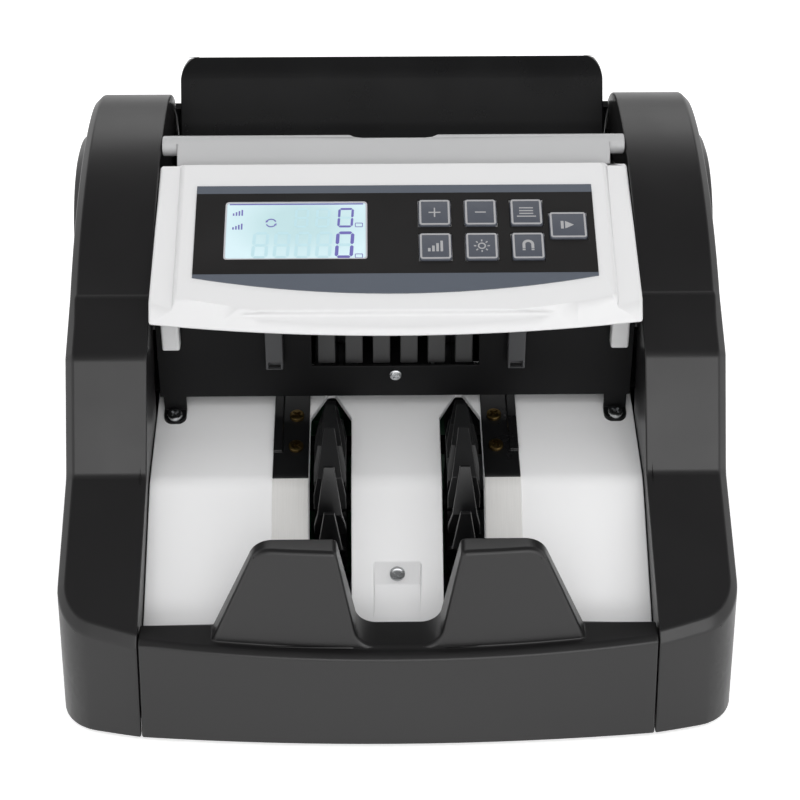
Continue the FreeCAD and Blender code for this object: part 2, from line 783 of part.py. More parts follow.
def over_plate(thickness, start, end):
    """Sheet on top of the stacker plate, beside the right slot, between two depths."""
    foot = along((BEND_Y, BEND_Z), (PLATE_FOOT_Y - BEND_Y, PLATE_FOOT_Z - BEND_Z), WEAR_LENGTH)
    rear_y = THROAT_Y + STRIP_REAR_BACK
    outer = STRIP_INNER_X + STRIP_W
    sheet = bent_sheet([(rear_y, shelf_z(rear_y)), (BEND_Y, BEND_Z), foot], thickness, BEND_R + PLATE_T,
                       STRIP_INNER_X, outer)
    return sheet.common(block(STRIP_INNER_X, outer, start, end, 0, FAR))


def slot_strips():
    """Black strips on the shelf, each with a raised rib along its outer edge."""
    rear_y = THROAT_Y + STRIP_REAR_BACK
    stop_y = BEND_Y + STRIP_RIB_STOP
    rear = (rear_y, shelf_z(rear_y))
    front = (stop_y, shelf_z(stop_y))
    outer = STRIP_INNER_X + STRIP_W
    base = over_plate(STRIP_T, BEND_Y + STRIP_JOINT_BACK, FAR)
    rib = solid_x([rear, front] + beside([rear, front], STRIP_RIB_H)[::-1], outer - STRIP_RIB_W, outer)
    return both_sides(join([base, rib]))


def strip_screws():
    screws = []
    for y in STRIP_SCREW_YS:
        spot = Vec(STRIP_SCREW_X, y, shelf_z(y)) + Vec(*SHELF_NORMAL) * STRIP_T
        screws.append(small_screw(SCREW_R, SCREW_H, spot, Vec(*SHELF_NORMAL)))
    return Part.makeCompound(screws + [mirrored(s) for s in screws])


def wear_plates():
    """Brushed plates that carry the line of the strips down the front slope."""
    return both_sides(over_plate(WEAR_T, -FAR, BEND_Y + STRIP_JOINT_BACK))


def fin():
    """One curved fin of the right wheel, drawn at the top of the wheel, with a pointed outer end."""
    centre = complex(*WHEEL_AXIS)
    root_r = WHEEL_HUB_R - FIN_T
    steps = 3
    back = []
    for i in range(steps + 1):
        share = i / steps
        reach = root_r + (WHEEL_R - root_r) * share ** 0.8
        swing = math.pi / 2 - math.radians(FIN_SWEEP) * share ** 1.4
        back.append(pair(centre + cmath.rect(reach, swing)))
    half = WHEEL_W / 2
    blade = solid_x(back + beside(back, FIN_T)[::-1], WHEEL_X - half, WHEEL_X + half)
    tip = complex(*back[-1])
    chord = tip - complex(*back[0])
    way = chord / abs(chord)
    side = Vec(0, -way.imag, way.real)

    def spot(x, down):
        there = tip - way * down
        return Vec(WHEEL_X + x, there.real, there.imag) - side * WHEEL_R

    tip_half = WHEEL_TIP_W / 2
    point = Part.makePolygon([spot(-half - 1, 2 * WHEEL_R), spot(-half - 1, FIN_POINT), spot(-half, FIN_POINT),
                              spot(-tip_half, -FIN_T), spot(tip_half, -FIN_T), spot(half, FIN_POINT),
                              spot(half + 1, FIN_POINT), spot(half + 1, 2 * WHEEL_R),
                              spot(-half - 1, 2 * WHEEL_R)])
    return blade.common(Part.Face(point).extrude(side * 2 * WHEEL_R))


def stacker_wheel():
    """Right wheel: a hub with curved fins that trail as it turns."""
    x0 = WHEEL_X - WHEEL_W / 2
    one = fin()
    fins = []
    for i in range(FIN_COUNT):
        turned = one.copy()
        turned.rotate(Vec(0, *WHEEL_AXIS), X_WAY, FIN_PHASE + 360.0 * i / FIN_COUNT)
        fins.append(turned)
    hub = rod(WHEEL_HUB_R, WHEEL_AXIS, x0, x0 + WHEEL_W)
    return hub.multiFuse(fins).cut(rod(SHAFT_R, WHEEL_AXIS, 0, FAR))


def throat_plate():
    """Black sheet over the exit of the note path, on two tabs screwed to the shelf."""
    low = shelf_z(THROAT_Y) + THROAT_GAP
    half = inner_x(THROAT_TOP_Z) - SEAM_GAP
    sheet = block(-half, half, THROAT_Y, THROAT_Y + THROAT_T, low, THROAT_TOP_Z)
    window = block(-THROAT_WINDOW_X, THROAT_WINDOW_X, THROAT_Y - 1, THROAT_Y + THROAT_T + 1,
                   THROAT_WINDOW_Z, THROAT_TOP_Z + 1)
    sheet = sheet.cut(window)
    rear = THROAT_Y + THROAT_T
    front = rear - TAB_LENGTH
    foot = [(rear, low + 1.0), (rear, shelf_z(rear)), (front, shelf_z(front)),
            (front, shelf_z(front) + THROAT_T), (THROAT_Y, shelf_z(THROAT_Y) + THROAT_T), (THROAT_Y, low + 1.0)]
    tab = solid_x(foot, TAB_X - TAB_W / 2, TAB_X + TAB_W / 2)
    return join([sheet, tab, mirrored(tab)])


def guide_comb():
    """Cross bar with six ribs that hang into the throat, and a block at either end of them."""
    front = THROAT_Y + THROAT_T
    rear = front + COMB_DEPTH
    top = COMB_BAR_Z + COMB_BAR_H
    pieces = [block(-FRAME_X, FRAME_X, front, rear, COMB_BAR_Z, top)]
    rib_front = front + 3.0
    for i in range(COMB_RIBS):
        x = (i - (COMB_RIBS - 1) / 2) * COMB_PITCH
        pieces.append(solid_x([(rib_front, COMB_BAR_Z + 1), (rib_front, RIB_FOOT_Z), (rib_front + 3.0, RIB_FOOT_Z),
                               (rear, COMB_BAR_Z - 3.0), (rear, COMB_BAR_Z + 1)], x - RIB_W / 2, x + RIB_W / 2))
    end = block(BLOCK_X - BLOCK_W / 2, BLOCK_X + BLOCK_W / 2, front, rear - 2.0, BLOCK_FOOT_Z, COMB_BAR_Z + 1)
    pieces += [end, mirrored(end)]
    return join(pieces)


def sensor_posts():
    """Hollow square posts that hang in front of the throat plate."""
    front = THROAT_Y - POST_DEPTH
    post = block(POST_X - POST_W / 2, POST_X + POST_W / 2, front, THROAT_Y, POST_FOOT_Z, THROAT_TOP_Z)
    bore = block(POST_X - POST_W / 2 + POST_WALL, POST_X + POST_W / 2 - POST_WALL,
                 front + POST_WALL, THROAT_Y - POST_WALL, 0, POST_FOOT_Z + 8.0)
    return both_sides(post.cut(bore))


def small_screw(radius, height, spot, way):
    """Six-sided screw head whose seat is at the spot and which points along the way."""
    head = solid_z(hexagon(radius, (0, 0)), 0, height)
    head.Placement = FreeCAD.Placement(spot, FreeCAD.Rotation(Z_WAY, way))
    return head


def plate_screws():
    """Screws of the throat tabs, the throat plate and the pocket."""
    tab_y = THROAT_Y + THROAT_T - TAB_LENGTH / 2 - 1.0
    tab = small_screw(SCREW_R, SCREW_H, Vec(TAB_X, tab_y, shelf_z(tab_y) + THROAT_T), Vec(*SHELF_NORMAL))
    middle_z = THROAT_WINDOW_Z - SCREW_R - 1.0
    centre = small_screw(SCREW_R * 0.8, SCREW_H, Vec(0, THROAT_Y, middle_z), Vec(0, -1, 0))
    pocket_z = slope_z(POCKET_REAR_Y) - POCKET_DROP / 2
    wall = Vec(0, -POCKET_DROP, 1.7)
    pocket = small_screw(SCREW_R, SCREW_H, Vec(0, POCKET_REAR_Y - 0.85, pocket_z), wall)
    return Part.makeCompound([tab, mirrored(tab), centre, pocket])


# Control panel, its display and its keys

def onto_panel(shape):
    """Moves a solid from the panel's own slope (u, v, w) to its place on the machine."""
    moved = shape.copy()
    moved.rotate(Vec(0, 0, 0), X_WAY, PANEL_TILT)
    moved.translate(Vec(0, 0, PANEL_Z))
    return moved


def panel_block(inset):
    """Panel housing under its wing plane, with the bowed and leaning front lip."""
    half = FAR / 4
    front = PANEL_LIP_Y + inset
    floor = PANEL_LIP_Z - (1.0 if inset else 0.0)
    spread = SEAM_X
    sweep = (spread ** 2 + PANEL_LIP_BOW ** 2) / (2 * PANEL_LIP_BOW)
    tail_y = front - PANEL_LIP_BOW + sweep - math.sqrt(sweep ** 2 - half ** 2)
    place = on_xy(floor)
    rear = PANEL_REAR_Y - inset
    edges = [
        Part.Arc(place((-half, tail_y)), place((0, front - PANEL_LIP_BOW)), place((half, tail_y))).toShape(),
        Part.makeLine(place((half, tail_y)), place((half, rear))),
        Part.makeLine(place((half, rear)), place((-half, rear))),
        Part.makeLine(place((-half, rear)), place((-half, tail_y))),
    ]
    body = Part.Face(Part.Wire(edges)).extrude(Vec(0, PANEL_LIP_LEAN, 1) * FAR / 4)
    body = body.common(block(-FAR, FAR, -FAR, rear, 0, FAR))
    under_wing = onto_panel(block(-FAR / 2, FAR / 2, -FAR / 2, FAR / 2, -FAR / 2, -PILLOW_H - inset))
    return body.common(under_wing).common(between_covers(SEAM_GAP + inset))


def panel_plate(points, radii, w0, w1):
    return onto_panel(solid_z(points, w0, w1, radii))


def rectangle(u, v, width, height, grow=0.0):
    half_w = width / 2 + grow
    half_h = height / 2 + grow
    return [(u - half_w, v - half_h), (u + half_w, v - half_h), (u + half_w, v + half_h), (u - half_w, v + half_h)]


def key_places():
    """Name, u, v and width of each key."""
    names = (("key_plus", "key_minus", "key_batch"), ("key_add", "key_uv", "key_mg"))
    places = []
    for row, v in zip(names, KEY_ROWS):
        for name, u in zip(row, KEY_COLUMNS):
            places.append((name, u, v, KEY_W))
    places.append(("key_start", START_KEY_U, START_KEY_V, START_KEY_W))
    return places


def panel_openings(w0, w1, display_grow):
    cuts = [panel_plate(rectangle(DISPLAY_U, DISPLAY_V, DISPLAY_W, DISPLAY_H, display_grow), 0, w0, w1)]
    for _, u, v, width in key_places():
        cuts.append(panel_plate(rectangle(u, v, width, KEY_H, KEY_GAP), 0, w0, w1))
    return Part.makeCompound(cuts)


def pillow():
    """Raised middle of the panel, with rounded sides."""
    rear_v = PANEL_REAR_Y / math.cos(math.radians(PANEL_TILT)) - 1.5
    front_v = OVERLAY_LOW_V - OVERLAY_ARC * 2
    raised = solid_z([(-PILLOW_HALF, front_v), (PILLOW_HALF, front_v), (PILLOW_HALF, rear_v), (-PILLOW_HALF, rear_v)],
                     -PILLOW_H - PANEL_WALL / 2, 0)
    crown = [e for e in raised.Edges if e.BoundBox.ZMin > -0.01 and e.BoundBox.YMax > front_v + 1]
    return onto_panel(raised.makeChamfer(PILLOW_BEVEL, crown))


def lip_cut():
    """Everything in front of the panel's leaning lip."""
    front = PANEL_LIP_Y
    spread = SEAM_X
    sweep = (spread ** 2 + PANEL_LIP_BOW ** 2) / (2 * PANEL_LIP_BOW)
    hub = Part.Wire(Part.makeCircle(sweep, Vec(0, front - PANEL_LIP_BOW + sweep, PANEL_LIP_Z)))
    inside = Part.Face(hub).extrude(Vec(0, PANEL_LIP_LEAN, 1) * FAR / 4)
    return block(-FAR / 2, FAR / 2, -FAR / 2, 0, PANEL_LIP_Z, FAR / 2).cut(inside)


def control_panel():
    housing = panel_block(0).fuse(pillow().cut(lip_cut()))
    shell = housing.cut(panel_block(PANEL_WALL))
    board = -BOARD_DEPTH
    posts = []
    for u in (-1, 1):
        for v in (OVERLAY_TOP_V - 3.0, OVERLAY_LOW_V + 4.0):
            post = block(-2.5, 2.5, -2.5, 2.5, board, -PILLOW_H)
            post.translate(Vec(u * (BOARD_HALF - 3.5), v, 0))
            posts.append(onto_panel(post))
    leg = block(LEG_X - LEG_W / 2, LEG_X + LEG_W / 2, LEG_Y, LEG_Y + LEG_D, LEG_FOOT_Z, PANEL_Z)
    leg = leg.common(panel_block(0).fuse(block(0, FAR, -FAR, FAR, LEG_FOOT_Z, PANEL_LIP_Z + 1)))
    shell = shell.multiFuse(posts + [leg, mirrored(leg)])
    openings = panel_openings(-PILLOW_H - PANEL_WALL - 1, 1, KEY_GAP)
    return shell.cut(openings).common(between_covers(SEAM_GAP)).removeSplitter()


def keypad_overlay():
    """Thin printed sheet with a bowed lower edge."""
    place = on_xy(0)
    low = (-OVERLAY_HALF, OVERLAY_LOW_V)
    edges = [
        Part.Arc(place(low), place((0, OVERLAY_LOW_V - OVERLAY_ARC)), place((OVERLAY_HALF, OVERLAY_LOW_V))).toShape(),
        Part.makeLine(place((OVERLAY_HALF, OVERLAY_LOW_V)), place((OVERLAY_HALF, OVERLAY_TOP_V))),
        Part.makeLine(place((OVERLAY_HALF, OVERLAY_TOP_V)), place((-OVERLAY_HALF, OVERLAY_TOP_V))),
        Part.makeLine(place((-OVERLAY_HALF, OVERLAY_TOP_V)), place(low)),
    ]
    sheet = onto_panel(Part.Face(Part.Wire(edges)).extrude(Z_WAY * OVERLAY_T))
    return sheet.cut(panel_openings(-1, OVERLAY_T + 1, 0))


def display_module():
    """Glass set in a frame that stands on the control board."""
    glass = panel_plate(rectangle(DISPLAY_U, DISPLAY_V, DISPLAY_W, DISPLAY_H), 0, -BOARD_DEPTH, -0.1)
    return glass


def key(u, v, width):
    low = -BOARD_DEPTH + 2 * KEY_TRAVEL
    return panel_plate(rectangle(u, v, width, KEY_H), 0, low, OVERLAY_T + KEY_RISE)


def control_board():
    low_v = OVERLAY_LOW_V + 1.0
    points = [(-BOARD_HALF, low_v), (BOARD_HALF, low_v), (BOARD_HALF, OVERLAY_TOP_V), (-BOARD_HALF, OVERLAY_TOP_V)]
    sheet = solid_z(points, -BOARD_DEPTH - BOARD_T, -BOARD_DEPTH)
    switches = []
    for _, u, v, _ in key_places():
        switches.append(block(u - 3.0, u + 3.0, v - 3.0, v + 3.0, -BOARD_DEPTH, -BOARD_DEPTH + KEY_TRAVEL / 2))
    return onto_panel(join([sheet] + switches))


# Hopper

HOPPER_FOOT = (HOPPER_FOOT_Y, HOPPER_FOOT_Z)
HOPPER_BEND = (HOPPER_BEND_Y, HOPPER_BEND_Z)
HOPPER_WAY = (HOPPER_FOOT_Y - HOPPER_BEND_Y, HOPPER_FOOT_Z - HOPPER_BEND_Z)
FEED_TOUCH = along(HOPPER_FOOT, HOPPER_WAY, FEED_REACH)
FEED_AXIS = along(FEED_TOUCH, HOPPER_WAY, 0, FEED_R)
KICK_TOUCH = along(HOPPER_FOOT, HOPPER_WAY, -KICK_REACH)
KICK_AXIS = along(KICK_TOUCH, HOPPER_WAY, 0, KICK_R - KICK_POKE)
DRIVE_AXIS = (NIP_Y, NIP_Z - NIP_GAP / 2 - DRIVE_R)
PINCH_AXIS = (NIP_Y, NIP_Z + NIP_GAP / 2 + PINCH_R)
MOTOR_AXIS = (MOTOR_Y, MOTOR_Z)


def hopper_plate():
    top = (HOPPER_TOP_Y, HOPPER_TOP_Z)
    lip = (HOPPER_LIP_Y, HOPPER_LIP_Z)
    plate = bent_sheet([HOPPER_FOOT, HOPPER_BEND, lip, top], HOPPER_T, HOPPER_BEND_R, -HOPPER_HALF, HOPPER_HALF)
    corner_r = HOPPER_CORNER_R
    face = solid_y([(-HOPPER_HALF, 0), (HOPPER_HALF, 0), (HOPPER_HALF, HOPPER_TOP_Z),
                    (-HOPPER_HALF, HOPPER_TOP_Z)], 0, FAR, [0, 0, corner_r, corner_r])
    clear = KICK_R + 2.0
    window = block(KICK_X - KICK_W / 2 - 2.0, KICK_X + KICK_W / 2 + 2.0,
                   KICK_AXIS[0] - FAR, KICK_AXIS[0] + FAR, KICK_TOUCH[1] - clear * 0.6, KICK_TOUCH[1] + clear * 0.6)
    return plate.common(face).cut(window).cut(mirrored(window))


def note_guide_bar():
    """Sloped bar on a round core, with a finger notch in its rear edge."""
    end = inner_x(BAR_Z) - SEAM_GAP
    core = rod(BAR_CORE_R, (BAR_Y, BAR_Z), -end, end)
    lean = math.radians(45)
    crest = (BAR_Y - BAR_CORE_R * math.sin(lean), BAR_Z + BAR_CORE_R * math.cos(lean))
    heel = (BAR_Y, BAR_Z - BAR_CORE_R)
    face = solid_x([(BAR_FRONT_Y, BAR_FRONT_Z), crest, (BAR_Y, BAR_Z), heel, (BAR_FRONT_Y + BAR_LIP, BAR_FRONT_Z - BAR_LIP),
                    (BAR_FRONT_Y, BAR_FRONT_Z - BAR_LIP)], -BAR_FACE_HALF, BAR_FACE_HALF)
    notch_front = BAR_Y + BAR_CORE_R - BAR_NOTCH_DEPTH
    notch = solid_z([(-BAR_NOTCH_HALF, notch_front), (BAR_NOTCH_HALF, notch_front),
                     (BAR_NOTCH_HALF, notch_front + 4 * BAR_NOTCH_DEPTH),
                     (-BAR_NOTCH_HALF, notch_front + 4 * BAR_NOTCH_DEPTH)],
                    BAR_Z - FAR / 4, BAR_Z + FAR / 4, [BAR_NOTCH_DEPTH * 0.8, BAR_NOTCH_DEPTH * 0.8, 0, 0])
    bar = core.fuse(face).cut(notch)
    return bar.common(between_covers(SEAM_GAP)).removeSplitter()


# Frame, base and rear fittings

def rod_places():
    """Centres of the tie rods that hold the two frame plates apart."""
    behind = HOPPER_T + ROD_R + ROD_SEAT_GAP
    return (along(HOPPER_BEND, HOPPER_WAY, HOPPER_ROD_REACH, behind),
            (BEND_Y - FRONT_ROD_AHEAD, BASE_TOP + FRONT_ROD_RISE),
            (NIP_Y - MIDDLE_ROD_AHEAD, BASE_TOP + MIDDLE_ROD_RISE),
            (FRAME_REAR_Y - REAR_ROD_INSET, BASE_TOP + REAR_ROD_RISE))


def shaft_places():
    """Axis and bush radius of every turning shaft."""
    return (WHEEL_AXIS, DRIVE_AXIS, FEED_AXIS, KICK_AXIS)


def frame_plate():
    """Right frame plate; its holes take the bushes of the shafts."""
    low = BASE_TOP
    margin = FRAME_MARGIN
    points = [(FRAME_FRONT_Y, low), (FRAME_FRONT_Y, RIM_Z - margin / 2), (KNEE_Y + margin, KNEE_Z - margin),
              (SHOULDER_Y + margin, SHOULDER_Z - margin), (CREASE_Y + margin, arch_z(CREASE_Y) - margin),
              ((CREASE_Y + PEAK_Y) / 2, arch_z((CREASE_Y + PEAK_Y) / 2) - margin * 1.5),
              (PEAK_Y, PEAK_Z - margin), (PEAK_Y + 30.0, PEAK_Z - 2.6 * margin),
              (FRAME_REAR_Y, PEAK_Z - (REAR_Y - PEAK_Y)), (FRAME_REAR_Y, low)]
    plate = solid_x(points, FRAME_X, FRAME_OUT)
    holes = [solid_x(hexagon(BUSH_R, axis), 0, FAR) for axis in shaft_places()]
    return plate.cut(Part.makeCompound(holes))


def right_frame_plate():
    return frame_plate().cut(rod(MOTOR_BOSS_R, MOTOR_AXIS, 0, FAR))


def tie_rods():
    bars = [solid_x(hexagon(ROD_FLAT, place), -FRAME_X, FRAME_X) for place in rod_places()]
    return Part.makeCompound(bars)


def shaft_bushes():
    """Six-sided bushes that sit in the frame plates and cannot turn there."""
    bushes = []
    for axis in shaft_places():
        bush = solid_x(hexagon(BUSH_R, axis), FRAME_X - BUSH_PROUD, FRAME_OUT + BUSH_PROUD)
        bush = bush.cut(rod(SHAFT_R + RUNNING_FIT, axis, 0, FAR))
        bushes += [bush, mirrored(bush)]
    return Part.makeCompound(bushes)


def base_plate():
    half = outer_x(BASE_Z) - COVER_WALL - BASE_GAP
    front = LEDGE_REAR_Y + BASE_GAP
    rear = REAR_Y - REAR_SETIN - REAR_WALL - BASE_GAP
    return solid_z([(-half, front), (half, front), (half, rear), (-half, rear)], BASE_Z, BASE_TOP, BASE_CORNER_R)


def rubber_feet():
    feet = []
    for x in (-FOOT_X, FOOT_X):
        for y in (FOOT_FRONT_Y, FOOT_REAR_Y):
            feet.append(Part.makeCone(FOOT_R * 0.85, FOOT_R, BASE_Z, Vec(x, y, 0)))
    return Part.makeCompound(feet)


def power_inlet():
    """Mains inlet with three blades in its well."""
    face = REAR_Y
    wall = face - REAR_SETIN
    rim = INLET_RIM
    body = block(INLET_X - INLET_W / 2, INLET_X + INLET_W / 2, wall - INLET_D, wall,
                 INLET_Z - INLET_H / 2, INLET_Z + INLET_H / 2)
    plate = solid_y(rectangle(INLET_X, INLET_Z, INLET_W, INLET_H, rim), wall, face)
    well_w = INLET_W - 2 * rim
    well_h = INLET_H - 2 * rim
    slant = well_h * 0.3
    corners = rectangle(INLET_X, INLET_Z, well_w, well_h)
    top = corners[2][1]
    well = solid_y(corners[:2] + [(corners[2][0], top - slant), (corners[2][0] - slant, top),
                                  (corners[3][0] + slant, top), (corners[3][0], top - slant)],
                   wall - INLET_D * 0.7, face + 1)
    inlet = join([body, plate]).cut(well)
    blades = []
    for x, z in ((-7.0, -1.5), (0.0, 2.5), (7.0, -1.5)):
        blades.append(block(INLET_X + x - 1.0, INLET_X + x + 1.0, wall - INLET_D * 0.8, wall - INLET_D * 0.3,
                            INLET_Z + z - 2.0, INLET_Z + z + 2.0))
    return join([inlet] + blades)


ROCKER_AXIS = (REAR_Y - REAR_SETIN - SWITCH_D * 0.35, INLET_Z)


def switch_housing():
    wall = REAR_Y - REAR_SETIN
    rim = 1.6
    body = block(SWITCH_X - SWITCH_W / 2, SWITCH_X + SWITCH_W / 2, wall - SWITCH_D, wall,
                 INLET_Z - SWITCH_H / 2, INLET_Z + SWITCH_H / 2)
    plate = solid_y(rectangle(SWITCH_X, INLET_Z, SWITCH_W, SWITCH_H, rim), wall, wall + 1.0)
    well = block(SWITCH_X - SWITCH_W / 2 + rim, SWITCH_X + SWITCH_W / 2 - rim, wall - SWITCH_D + rim, REAR_Y,
                 INLET_Z - SWITCH_H / 2 + rim, INLET_Z + SWITCH_H / 2 - rim)
    pin = rod(1.2, ROCKER_AXIS, SWITCH_X - SWITCH_W / 2 + rim / 2, SWITCH_X + SWITCH_W / 2 - rim / 2)
    return join([join([body, plate]).cut(well), pin])


def power_rocker():
    """Rocker with a hollowed face, turning on the pin of its housing."""
    rim = 1.6
    half_w = SWITCH_W / 2 - rim - SWITCH_GAP
    half_h = SWITCH_H / 2 - rim - 2 * SWITCH_GAP
    face = REAR_Y - 0.6
    y, z = ROCKER_AXIS
    tilt = math.radians(8)
    points = [(y - 2.4, z - 2.4), (y - 2.4, z + 2.4), (y, z + half_h - 1.0),
              (face - 1.8, z + half_h - 1.2), (face - 1.9 - math.tan(tilt) * half_h / 2, z),
              (face - 0.2, z - half_h + 1.2), (y, z - half_h + 1.0)]
    body = solid_x(points, SWITCH_X - half_w, SWITCH_X + half_w)
    return body.cut(rod(1.2 + RUNNING_FIT, ROCKER_AXIS, -FAR, FAR))


def cover_screws():
    face = REAR_Y - REAR_SETIN
    screws = []
    for x in (-COVER_SCREW_X, COVER_SCREW_X):
        for z in COVER_SCREW_ZS:
            screws.append(small_screw(SCREW_R, SCREW_H, Vec(x, face, z), Y_WAY))
    return Part.makeCompound(screws)


def main_board():
    """Power board on pillars, with its transformer, capacitors and heat sink."""
    low = BASE_TOP + PCB_LIFT
    top = low + PCB_T
    pieces = [block(PCB_X0, PCB_X1, PCB_Y0, PCB_Y1, low, top)]
    for x in (PCB_X0 + PILLAR_INSET, PCB_X1 - PILLAR_INSET):
        for y in (PCB_Y0 + PILLAR_INSET, PCB_Y1 - PILLAR_INSET):
            pieces.append(block(x - PILLAR_R, x + PILLAR_R, y - PILLAR_R, y + PILLAR_R, BASE_TOP, low))
    core_x = PCB_X0 + 20.0
    core_y = PCB_Y1 - 20.0 - CORE_D
    pieces.append(block(core_x, core_x + CORE_W, core_y, core_y + CORE_D, top, top + CORE_H * 0.2))
    pieces.append(block(core_x + 6.0, core_x + CORE_W - 6.0, core_y - 3.0, core_y + CORE_D + 3.0,
                        top + CORE_H * 0.2, top + CORE_H * 0.8))
    pieces.append(block(core_x, core_x + CORE_W, core_y, core_y + CORE_D, top + CORE_H * 0.8, top + CORE_H))
    for i in range(3):
        pieces.append(Part.makeCylinder(6.0, 20.0, Vec(PCB_X1 - 20.0 - 16.0 * i, PCB_Y1 - 30.0, top)))
    for i in range(5):
        x = PCB_X1 - 52.0 + 6.0 * i
        pieces.append(block(x, x + 2.0, PCB_Y0 + 22.0, PCB_Y0 + 46.0, top, top + 18.0))
    pieces.append(block(PCB_X1 - 54.0, PCB_X1 - 24.0, PCB_Y0 + 20.0, PCB_Y0 + 22.0, top, top + 18.0))
    return join(pieces)


# Rollers, pulleys and belts

def lower_guide():
    """Bent sheet that carries the notes from the rollers to the shelf."""
    front = (GUIDE_FRONT_Y, shelf_z(GUIDE_FRONT_Y) + GUIDE_STEP)
    middle = (NIP_Y - GUIDE_AHEAD, NIP_Z - GUIDE_DROP)
    rear = (NIP_Y + GUIDE_BACK, NIP_Z + GUIDE_RISE)
    sheet = bent_sheet([front, middle, rear], GUIDE_T, GUIDE_BEND_R, -FRAME_X, FRAME_X)
    window = block(ROLLER_X - DRIVE_W / 2 - 2.0, ROLLER_X + DRIVE_W / 2 + 2.0,
                   NIP_Y - DRIVE_R - 2.0, NIP_Y + DRIVE_R + 1.0, 0, FAR)
    return sheet.cut(window).cut(mirrored(window))


def roller(radius, width, axis, x):
    """Rubber tyre, bored for its shaft."""
    return ring(radius, SHAFT_R, axis, x - width / 2, x + width / 2)


def pulley(radius, axis, x0, bore):
    """Pulley for one belt; x0 is its inner face."""
    return ring(radius, bore, axis, x0, x0 + PULLEY_W)


PULLEY_W = BELT_W + 2 * BELT_MARGIN
NEAR_X = FRAME_OUT + BUSH_PROUD + PULLEY_SPACE
FAR_X = NEAR_X + PULLEY_W + PULLEY_SPACE
SHAFT_END = FAR_X + PULLEY_W + 0.5


def belt(first, first_r, second, second_r, x0):
    """Open loop round two pulleys, clear of them by the belt gap."""
    a = complex(*first)
    b = complex(*second)
    span = abs(b - a)
    way = (b - a) / span
    x = x0 + BELT_MARGIN

    def loop(extra):
        ra = first_r + BELT_GAP + extra
        rb = second_r + BELT_GAP + extra
        lean = math.acos((ra - rb) / span)
        up = cmath.rect(1, lean) * way
        down = cmath.rect(1, -lean) * way
        place = on_yz(x)
        spots = [a + ra * up, b + rb * up, b + rb * way, b + rb * down, a + ra * down, a - ra * way]
        p = [place(pair(spot)) for spot in spots]
        edges = [Part.makeLine(p[0], p[1]), Part.Arc(p[1], p[2], p[3]).toShape(),
                 Part.makeLine(p[3], p[4]), Part.Arc(p[4], p[5], p[0]).toShape()]
        return Part.Face(Part.Wire(edges)).extrude(X_WAY * BELT_W)

    return loop(BELT_T).cut(loop(0))


def drive_belts():
    """Four belts: motor to drive, drive to feed, feed to kick and drive to stacker."""
    return Part.makeCompound([
        belt(MOTOR_AXIS, MOTOR_PULLEY_R, DRIVE_AXIS, DRIVE_PULLEY_R, NEAR_X),
        belt(DRIVE_AXIS, FEED_DRIVER_R, FEED_AXIS, FEED_PULLEY_R, FAR_X),
        mirrored(belt(FEED_AXIS, KICK_DRIVER_R, KICK_AXIS, KICK_PULLEY_R, NEAR_X)),
        mirrored(belt(WHEEL_AXIS, STACK_PULLEY_R, DRIVE_AXIS, STACK_DRIVER_R, FAR_X)),
    ])


def main_motor():
    body = rod(MOTOR_R, MOTOR_AXIS, FRAME_X - MOTOR_L, FRAME_X)
    boss = rod(MOTOR_BOSS_R, MOTOR_AXIS, FRAME_X, FRAME_OUT)
    bore = rod(MOTOR_SHAFT_R + RUNNING_FIT, MOTOR_AXIS, FRAME_X - 10.0, FRAME_OUT + 1)
    return join([body, boss]).cut(bore)


def motor_pulley():
    shaft = rod(MOTOR_SHAFT_R, MOTOR_AXIS, FRAME_X - 9.0, NEAR_X + PULLEY_W)
    return join([shaft, pulley(MOTOR_PULLEY_R, MOTOR_AXIS, NEAR_X, MOTOR_SHAFT_R)])


def shaft(axis, left, right):
    return rod(SHAFT_R, axis, -left, right)


def left_pulley(radius, axis, x0):
    return mirrored(pulley(radius, axis, x0, SHAFT_R))


def drive_pulleys():
    return Part.makeCompound([pulley(DRIVE_PULLEY_R, DRIVE_AXIS, NEAR_X, SHAFT_R),
                              pulley(FEED_DRIVER_R, DRIVE_AXIS, FAR_X, SHAFT_R),
                              left_pulley(STACK_DRIVER_R, DRIVE_AXIS, FAR_X)])


def feed_pulleys():
    return Part.makeCompound([pulley(FEED_PULLEY_R, FEED_AXIS, FAR_X, SHAFT_R),
                              left_pulley(KICK_DRIVER_R, FEED_AXIS, NEAR_X)])


def kick_shaft():
    return join([shaft(KICK_AXIS, NEAR_X + PULLEY_W, FRAME_OUT + 3.0),
                 left_pulley(KICK_PULLEY_R, KICK_AXIS, NEAR_X)])


def pinch_rollers():
    rollers = ring(PINCH_R, PINCH_AXLE_R + RUNNING_FIT, PINCH_AXIS, ROLLER_X - PINCH_W / 2, ROLLER_X + PINCH_W / 2)
    return both_sides(rollers)


STRIPPER_AXIS = along(FEED_TOUCH, HOPPER_WAY, 0, -STRIPPER_R - STRIPPER_GAP)
BLOCK_Y = STRIPPER_AXIS[0]
BLOCK_Z = STRIPPER_AXIS[1]
BLOCK_TOP = BLOCK_Z + STRIPPER_H
BRIDGE_Z = BLOCK_TOP + BRIDGE_RISE


